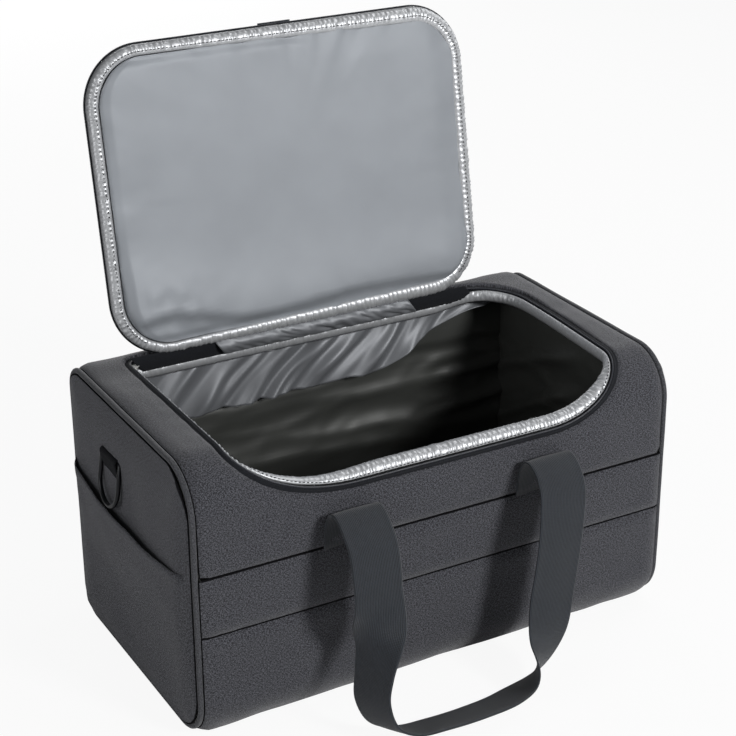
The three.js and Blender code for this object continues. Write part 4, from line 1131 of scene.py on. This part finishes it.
def hinge_strip(name, left, right, forward, material, pucker):
    """A strip from the rear of the mouth up to the lid's edge."""
    points, uvs = [], []
    across = spread(left, right, 2 * mm)
    for i in range(hinge_rows):
        t = i / (hinge_rows - 1)
        for x in across:
            place = start.lerp(end, t)
            crease = 0.3 - abs(rough_at(x + 0.02 * t, t * 0.02, 0, 13 * mm, 61))
            sag = math.sin(math.pi * t) * (1.2 * mm + pucker * crease) + forward * smooth(6 * t * (1 - t))
            points.append(Vector((x + lid_slump * t, place.y - sag, place.z - sag * 0.3)))
            uvs.append((x, t * (end - start).length))
    piece = mesh_piece(name, points, flipped(grid_faces(hinge_rows, len(across))), uvs, material, 0.7 * mm)
    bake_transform(piece)
    return piece


hinge_strip("lid_hinge_tape", -196 * mm, 190 * mm, 0, tape_weave, 0.8 * mm)
# The flap takes the same lighter film, painted light.
flap = hinge_strip("hinge_silver_flap", -106 * mm, 118 * mm, 3.2 * mm, painted_light_film, 6.5 * mm)
leaf_half, leaf_narrowing = 112 * mm, 0.885
columns = spread(-leaf_half, leaf_half, 6 * mm)
start, end = skin(0, on_top(124 * mm), 0.8 * mm), on_lid(0, 21 * mm, 2.2 * mm)
points, uvs = [], []
for i in range(hinge_rows):
    t = i / (hinge_rows - 1)
    for x in columns:
        place = start.lerp(end, t)
        bow = math.sin(math.pi * t) * 2.2 * mm
        points.append(Vector((x * leaf_narrowing, place.y - bow, place.z - bow)))
        uvs.append((x, t * (end - start).length))
outer_hinge = mesh_piece("lid_hinge_canvas", points, grid_faces(hinge_rows, len(columns)), uvs, canvas,
                         0.9 * mm)
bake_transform(outer_hinge)
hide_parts("hinge_leaf_body", "hinge_leaf_lid")


# Handles: one length of 50 mm webbing each. Its ends are sewn in at the high seam, rise over a crest,
# twist a quarter turn in each leg and lie along the floor.
webbing_weave = effect("webbing_ribs", {"Map": None, "Rib": 0.0016}, {"Tone": "NodeSocketFloat",
                                                                     "Height": "NodeSocketFloat"})
ins = node(webbing_weave, "NodeGroupInput")
apart = node(webbing_weave, "ShaderNodeSeparateXYZ", {0: ins.outputs["Map"]})
ribs = maths(webbing_weave, "DIVIDE", apart.outputs[1], ins.outputs["Rib"])
rib = maths(webbing_weave, "SINE", maths(webbing_weave, "MULTIPLY", ribs, 2 * math.pi))
# The ribs and picks also shift the webbing's tone with their relief: painted shade in the grooves and painted
# highlight on the ribs, over the yarn's own varying tone.
pick_spacing, pick_share, rib_shade_share = 0.0013, 0.35, 0.36
picks = maths(webbing_weave, "MULTIPLY", apart.outputs[0], 2 * math.pi / pick_spacing)
pick = maths(webbing_weave, "MULTIPLY", maths(webbing_weave, "SINE", picks), pick_share)
both = maths(webbing_weave, "ADD", rib, pick)
yarn_place = node(webbing_weave, "ShaderNodeMapping", {"Vector": ins.outputs["Map"],
                                                       "Scale": (160, 1100, 1)})
yarn = node(webbing_weave, "ShaderNodeTexNoise", {"Vector": yarn_place.outputs[0], "Scale": 1.0,
                                                  "Detail": 3.0})
yarn_and_rib_shade = maths(webbing_weave, "ADD", yarn.outputs["Fac"], maths(webbing_weave, "MULTIPLY", both, rib_shade_share),
             clamp=True)
node(webbing_weave, "NodeGroupOutput", {"Tone": yarn_and_rib_shade, "Height": both})

webbing, tree, shader = new_material("ribbed_webbing")
ribbed = node(tree, "ShaderNodeGroup", node_tree=webbing_weave)
tree.links.new(node(tree, "ShaderNodeUVMap", uv_map="weave").outputs[0], ribbed.inputs["Map"])
set_tones(tree, shader, ribbed.outputs["Tone"], (0.003, 0.0038, 0.006), (0.0195, 0.0265, 0.037), 0.25, 0.8)
set_relief(tree, shader, ribbed.outputs["Height"], 0.6, 0.0003)
shader.inputs["Roughness"].default_value = 0.62
shader.inputs["Specular IOR Level"].default_value = 0.4
shader.inputs["Sheen Weight"].default_value = 0.2

crest_heading = math.radians(224)
bend_y, bend_z = -half_depth - 35.6 * mm, 207 * mm
ahead = (math.cos(crest_heading), math.sin(crest_heading))


def past_bend(size):
    return Vector((0, bend_y + ahead[0] * size, bend_z + ahead[1] * size))


def curve_through(knots, steps):
    """A smooth curve through all knots but the first and the last."""
    line = []
    for p0, p1, p2, p3 in zip(knots, knots[1:], knots[2:], knots[3:]):
        t1 = (p1 - p0).xyz.length ** 0.5
        t2 = t1 + (p2 - p1).xyz.length ** 0.5
        t3 = t2 + (p3 - p2).xyz.length ** 0.5
        for j in range(steps):
            t = t1 + (t2 - t1) * j / steps
            a1 = p0 * ((t1 - t) / t1) + p1 * (t / t1)
            a2 = p1 * ((t2 - t) / (t2 - t1)) + p2 * ((t - t1) / (t2 - t1))
            a3 = p2 * ((t3 - t) / (t3 - t2)) + p3 * ((t - t2) / (t3 - t2))
            b1 = a1 * ((t2 - t) / t2) + a2 * (t / t2)
            b2 = a2 * ((t3 - t) / (t3 - t1)) + a3 * ((t - t1) / (t3 - t1))
            line.append(b1 * ((t2 - t) / (t2 - t1)) + b2 * ((t - t1) / (t2 - t1)))
    return line + [knots[-2]]


# Each loop's course in mm, and how far it is turned out of its leg's plane there. The front one lies over
# to the left, its right leg is drawn in, and it rests on one edge with the other a little off the floor.
half_loop = [(-105, -194, 195, 0), (-107, -202, 170, 0), (-108.5, -205, 131, 0.05), (-109, -206, 84, 0.4),
             (-107, -208, 36, 0.85), (-91, -211, 14, 0.97), (-63, -213, 10, 1)]
loops = {
    "front": [(-105, -194, 192, 0), (-106, -203, 168, 0), (-106, -206, 145, 0), (-106, -207, 122, 0.2),
              (-110, -211, 98, 0.64), (-117, -215, 72, 0.8), (-121, -220, 47, 0.85), (-113, -227, 24, 0.92),
              (-91, -231, 12, 1), (-60, -233, 9.7, 1), (-20, -234, 9.5, 1), (20, -231, 10.5, 0.97),
              (47, -225, 17, 0.75), (66.5, -217, 34, 0.38), (78, -211, 60, 0.08), (84, -207, 90, 0),
              (89, -206, 120, 0), (93, -205, 150, 0), (97, -201, 175, 0), (102, -193, 193, 0)],
    "back": half_loop + [(0, -214, 10, 1)] + [(-x, y, z, turn) for x, y, z, turn in reversed(half_loop)]}
raised = math.radians(21)
sewn_steps, knot_steps = 15, 8
across_webbing = [-25, -24.2, -22.6, -20, -15, -10, -5, 0, 5, 10, 15, 20, 22.6, 24.2, 25]
for word, side in (("front", -1), ("back", 1)):
    points, uvs = [], []
    seam_y, left_end = -half_depth - 1.4 * mm, Vector((-105 * mm, 0, 0))
    sewn_foot, sewn_pull = Vector((0, seam_y, 172.5 * mm)), Vector((0, seam_y, 217.5 * mm))
    crest_pull, crest = past_bend(-24 * mm), past_bend(0)
    sewn = [sewn_foot * (1 - t) ** 3 + sewn_pull * 3 * t * (1 - t) ** 2 + crest_pull * 3 * t * t * (1 - t)
            + crest * t ** 3 for t in (k / sewn_steps for k in range(sewn_steps))]
    ends = [(past_bend(size) + left_end).to_4d() for size in (-12 * mm, 0)]
    for p in ends:
        p.w = 0
    hanging = curve_through(ends + [Vector((x * mm, y * mm, z * mm, turn)) for x, y, z, turn in loops[word]]
                            + [Vector((-p.x, p.y, p.z, 0)) for p in reversed(ends)], knot_steps)
    route = [p + left_end for p in sewn] + [p.xyz for p in hanging] + [p - left_end for p in reversed(sewn)]
    turns_by = [0] * sewn_steps + [p.w for p in hanging] + [0] * sewn_steps
    run = 0.0
    for i, (centre, turn) in enumerate(zip(route, turns_by)):
        before, after = route[max(0, i - 1)], route[min(len(route) - 1, i + 1)]
        tangent = (after - before).normalized()
        run += (centre - before).length
        flat = Vector((1 if centre.x < -20 * mm else -1, 0, 0))
        down = Vector((0, -math.cos(raised), math.sin(raised)))
        width = flat * math.cos(turn * quarter) + down * math.sin(turn * quarter)
        width = (width - tangent * width.dot(tangent)).normalized()
        through = tangent.cross(width)
        ring = []
        for face in (1, -1):
            for c in across_webbing[::face]:
                selvedge = 0.25 * mm if abs(c) > 21 else 0
                thick = 0.85 * mm + selvedge if abs(c) < 24.9 else 0.35 * mm
                cup = 0.7 * mm * (1 - (c / 25) ** 2)
                ring.append((centre + width * (c * mm) + through * (face * thick + cup), c * mm))
        for p, c in ring:
            points.append(Vector((p.x, -side * p.y, p.z)))
            uvs.append((run, c))
    n = len(ring)
    faces = capped_faces(len(route), n)
    if side < 0:
        faces = flipped(faces)
    piece = mesh_piece(f"webbing_handle_{word}", points, faces, uvs, webbing)
    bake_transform(piece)
    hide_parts(f"handle_{word}", f"handle_tab_{word}_left", f"handle_tab_{word}_right")


# Pull tab of the lid: a short end of the webbing, sewn on the outside of the lip.
points, uvs = [], []
tab_rows, tab_columns = spread(280 * mm, 304.3 * mm, 2.4 * mm), spread(-17.5 * mm, 17.5 * mm, 2.5 * mm)
for s in tab_rows:
    for x in tab_columns:
        points.append(on_lid(x, s, 2.6 * mm + 0.6 * mm * smooth((s - 290 * mm) / (12 * mm))))
        uvs.append((s, x))
tab = mesh_piece("webbing_pull_tab", points, flipped(grid_faces(len(tab_rows), len(tab_columns))), uvs,
                 webbing, 1.8 * mm)
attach(tab, "lid_lip")
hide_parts("lid_pull_tab")


# Rings: a D of black lacquered wire on each end, for a shoulder strap's hooks, held in a folded tab of
# narrower webbing that is sewn down above the pocket.
tab_webbing = cloth_material("black_webbing", (0.002, 0.002, 0.003), (0.004, 0.0045, 0.006),
                             (0.009, 0.01, 0.013), thread=0.0012, slub=0.8, bump=0.6, rough=0.9, sheen=0.0)
lacquer = plain_material("black_lacquer", (0.012, 0.013, 0.015), 0.28, 160, 0.05)
lacquer.node_tree.nodes["Principled BSDF"].inputs["Metallic"].default_value = 0.6
bar_x, bar_z, ring_y = 264.65 * mm, 226 * mm, 28 * mm
half, corner, drop, tilt = 22.25 * mm, 3 * mm, 27.75 * mm, math.radians(8)
wire_radius, fold_radius, sewn_x = 2.25 * mm, 3.6 * mm, 261.4 * mm - 0.35 * mm
across_tab = (-19, -18.4, -16, -8, 0, 8, 16, 18.4, 19)
for word, side in (("left", -1), ("right", 1)):
    route = [(-half + corner + (2 * half - 2 * corner) * k / 8, 0.0) for k in range(9)]
    route += [(half - corner + corner * math.cos(a), -corner + corner * math.sin(a))
              for a in (math.radians(60), math.radians(30))]
    route += [(half * math.cos(-math.pi * k / 28), -drop + half * math.sin(-math.pi * k / 28))
              for k in range(29)]
    route += [(-half + corner + corner * math.cos(a), -corner + corner * math.sin(a))
              for a in (math.radians(150), math.radians(120))]
    lean_out = Vector((side * math.sin(tilt), 0, -math.cos(tilt)))
    centres = [Vector((side * bar_x, ring_y, bar_z)) + Vector((0, a, 0)) - lean_out * b for a, b in route]
    frames = []
    for i, centre in enumerate(centres):
        tangent = (centres[(i + 1) % len(centres)] - centres[i - 1]).normalized()
        face = Vector((side * math.cos(tilt), 0, math.sin(tilt)))
        frames.append((face, tangent.cross(face).normalized()))
    piece = tube(f"ring_wire_{word}", centres, frames, wire_radius, 14, lacquer)
    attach(piece, f"d_ring_{word}")
    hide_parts(f"d_ring_{word}")

    route = [Vector((sewn_x, 0, z * mm)) for z in (150, 158, 166, 174, 182, 190, 198, 206, 213)]
    route += [Vector((bar_x - fold_radius * math.cos(a), 0, bar_z + fold_radius * math.sin(a)))
              for a in (math.pi * k / 10 for k in range(11))]
    route += [Vector((x * mm, 0, z * mm)) for x, z in ((267.9, 221), (266.6, 216), (264.6, 210), (263.6, 204),
                                                       (263.3, 201.5))]
    points, uvs, run = [], [], 0.0
    for i, centre in enumerate(route):
        before, after = route[max(0, i - 1)], route[min(len(route) - 1, i + 1)]
        tangent = (after - before).normalized()
        through = Vector((-tangent.z, 0, tangent.x))
        run += (centre - before).length
        for face in (1, -1):
            for c in across_tab[::face]:
                p = centre + through * (face * (0.8 if abs(c) < 18.9 else 0.3) * mm)
                points.append(Vector((side * p.x, ring_y + c * mm, p.z)))
                uvs.append((run, c * mm))
    n = 2 * len(across_tab)
    faces = capped_faces(len(route), n)
    if side < 0:
        faces = flipped(faces)
    piece = mesh_piece(f"ring_tab_fold_{word}", points, faces, uvs, tab_webbing)
    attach(piece, "bag")
    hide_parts(f"ring_tab_{word}")


# Zip sliders and pulls: die-cast, lacquered black. They are parked at the rear ends of the zip, behind
# the open lid.
for name in ("zip_slider_left", "zip_slider_right", "zip_pull_left", "zip_pull_right"):
    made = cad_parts[name]
    made.data.materials.clear()
    made.data.materials.append(lacquer)
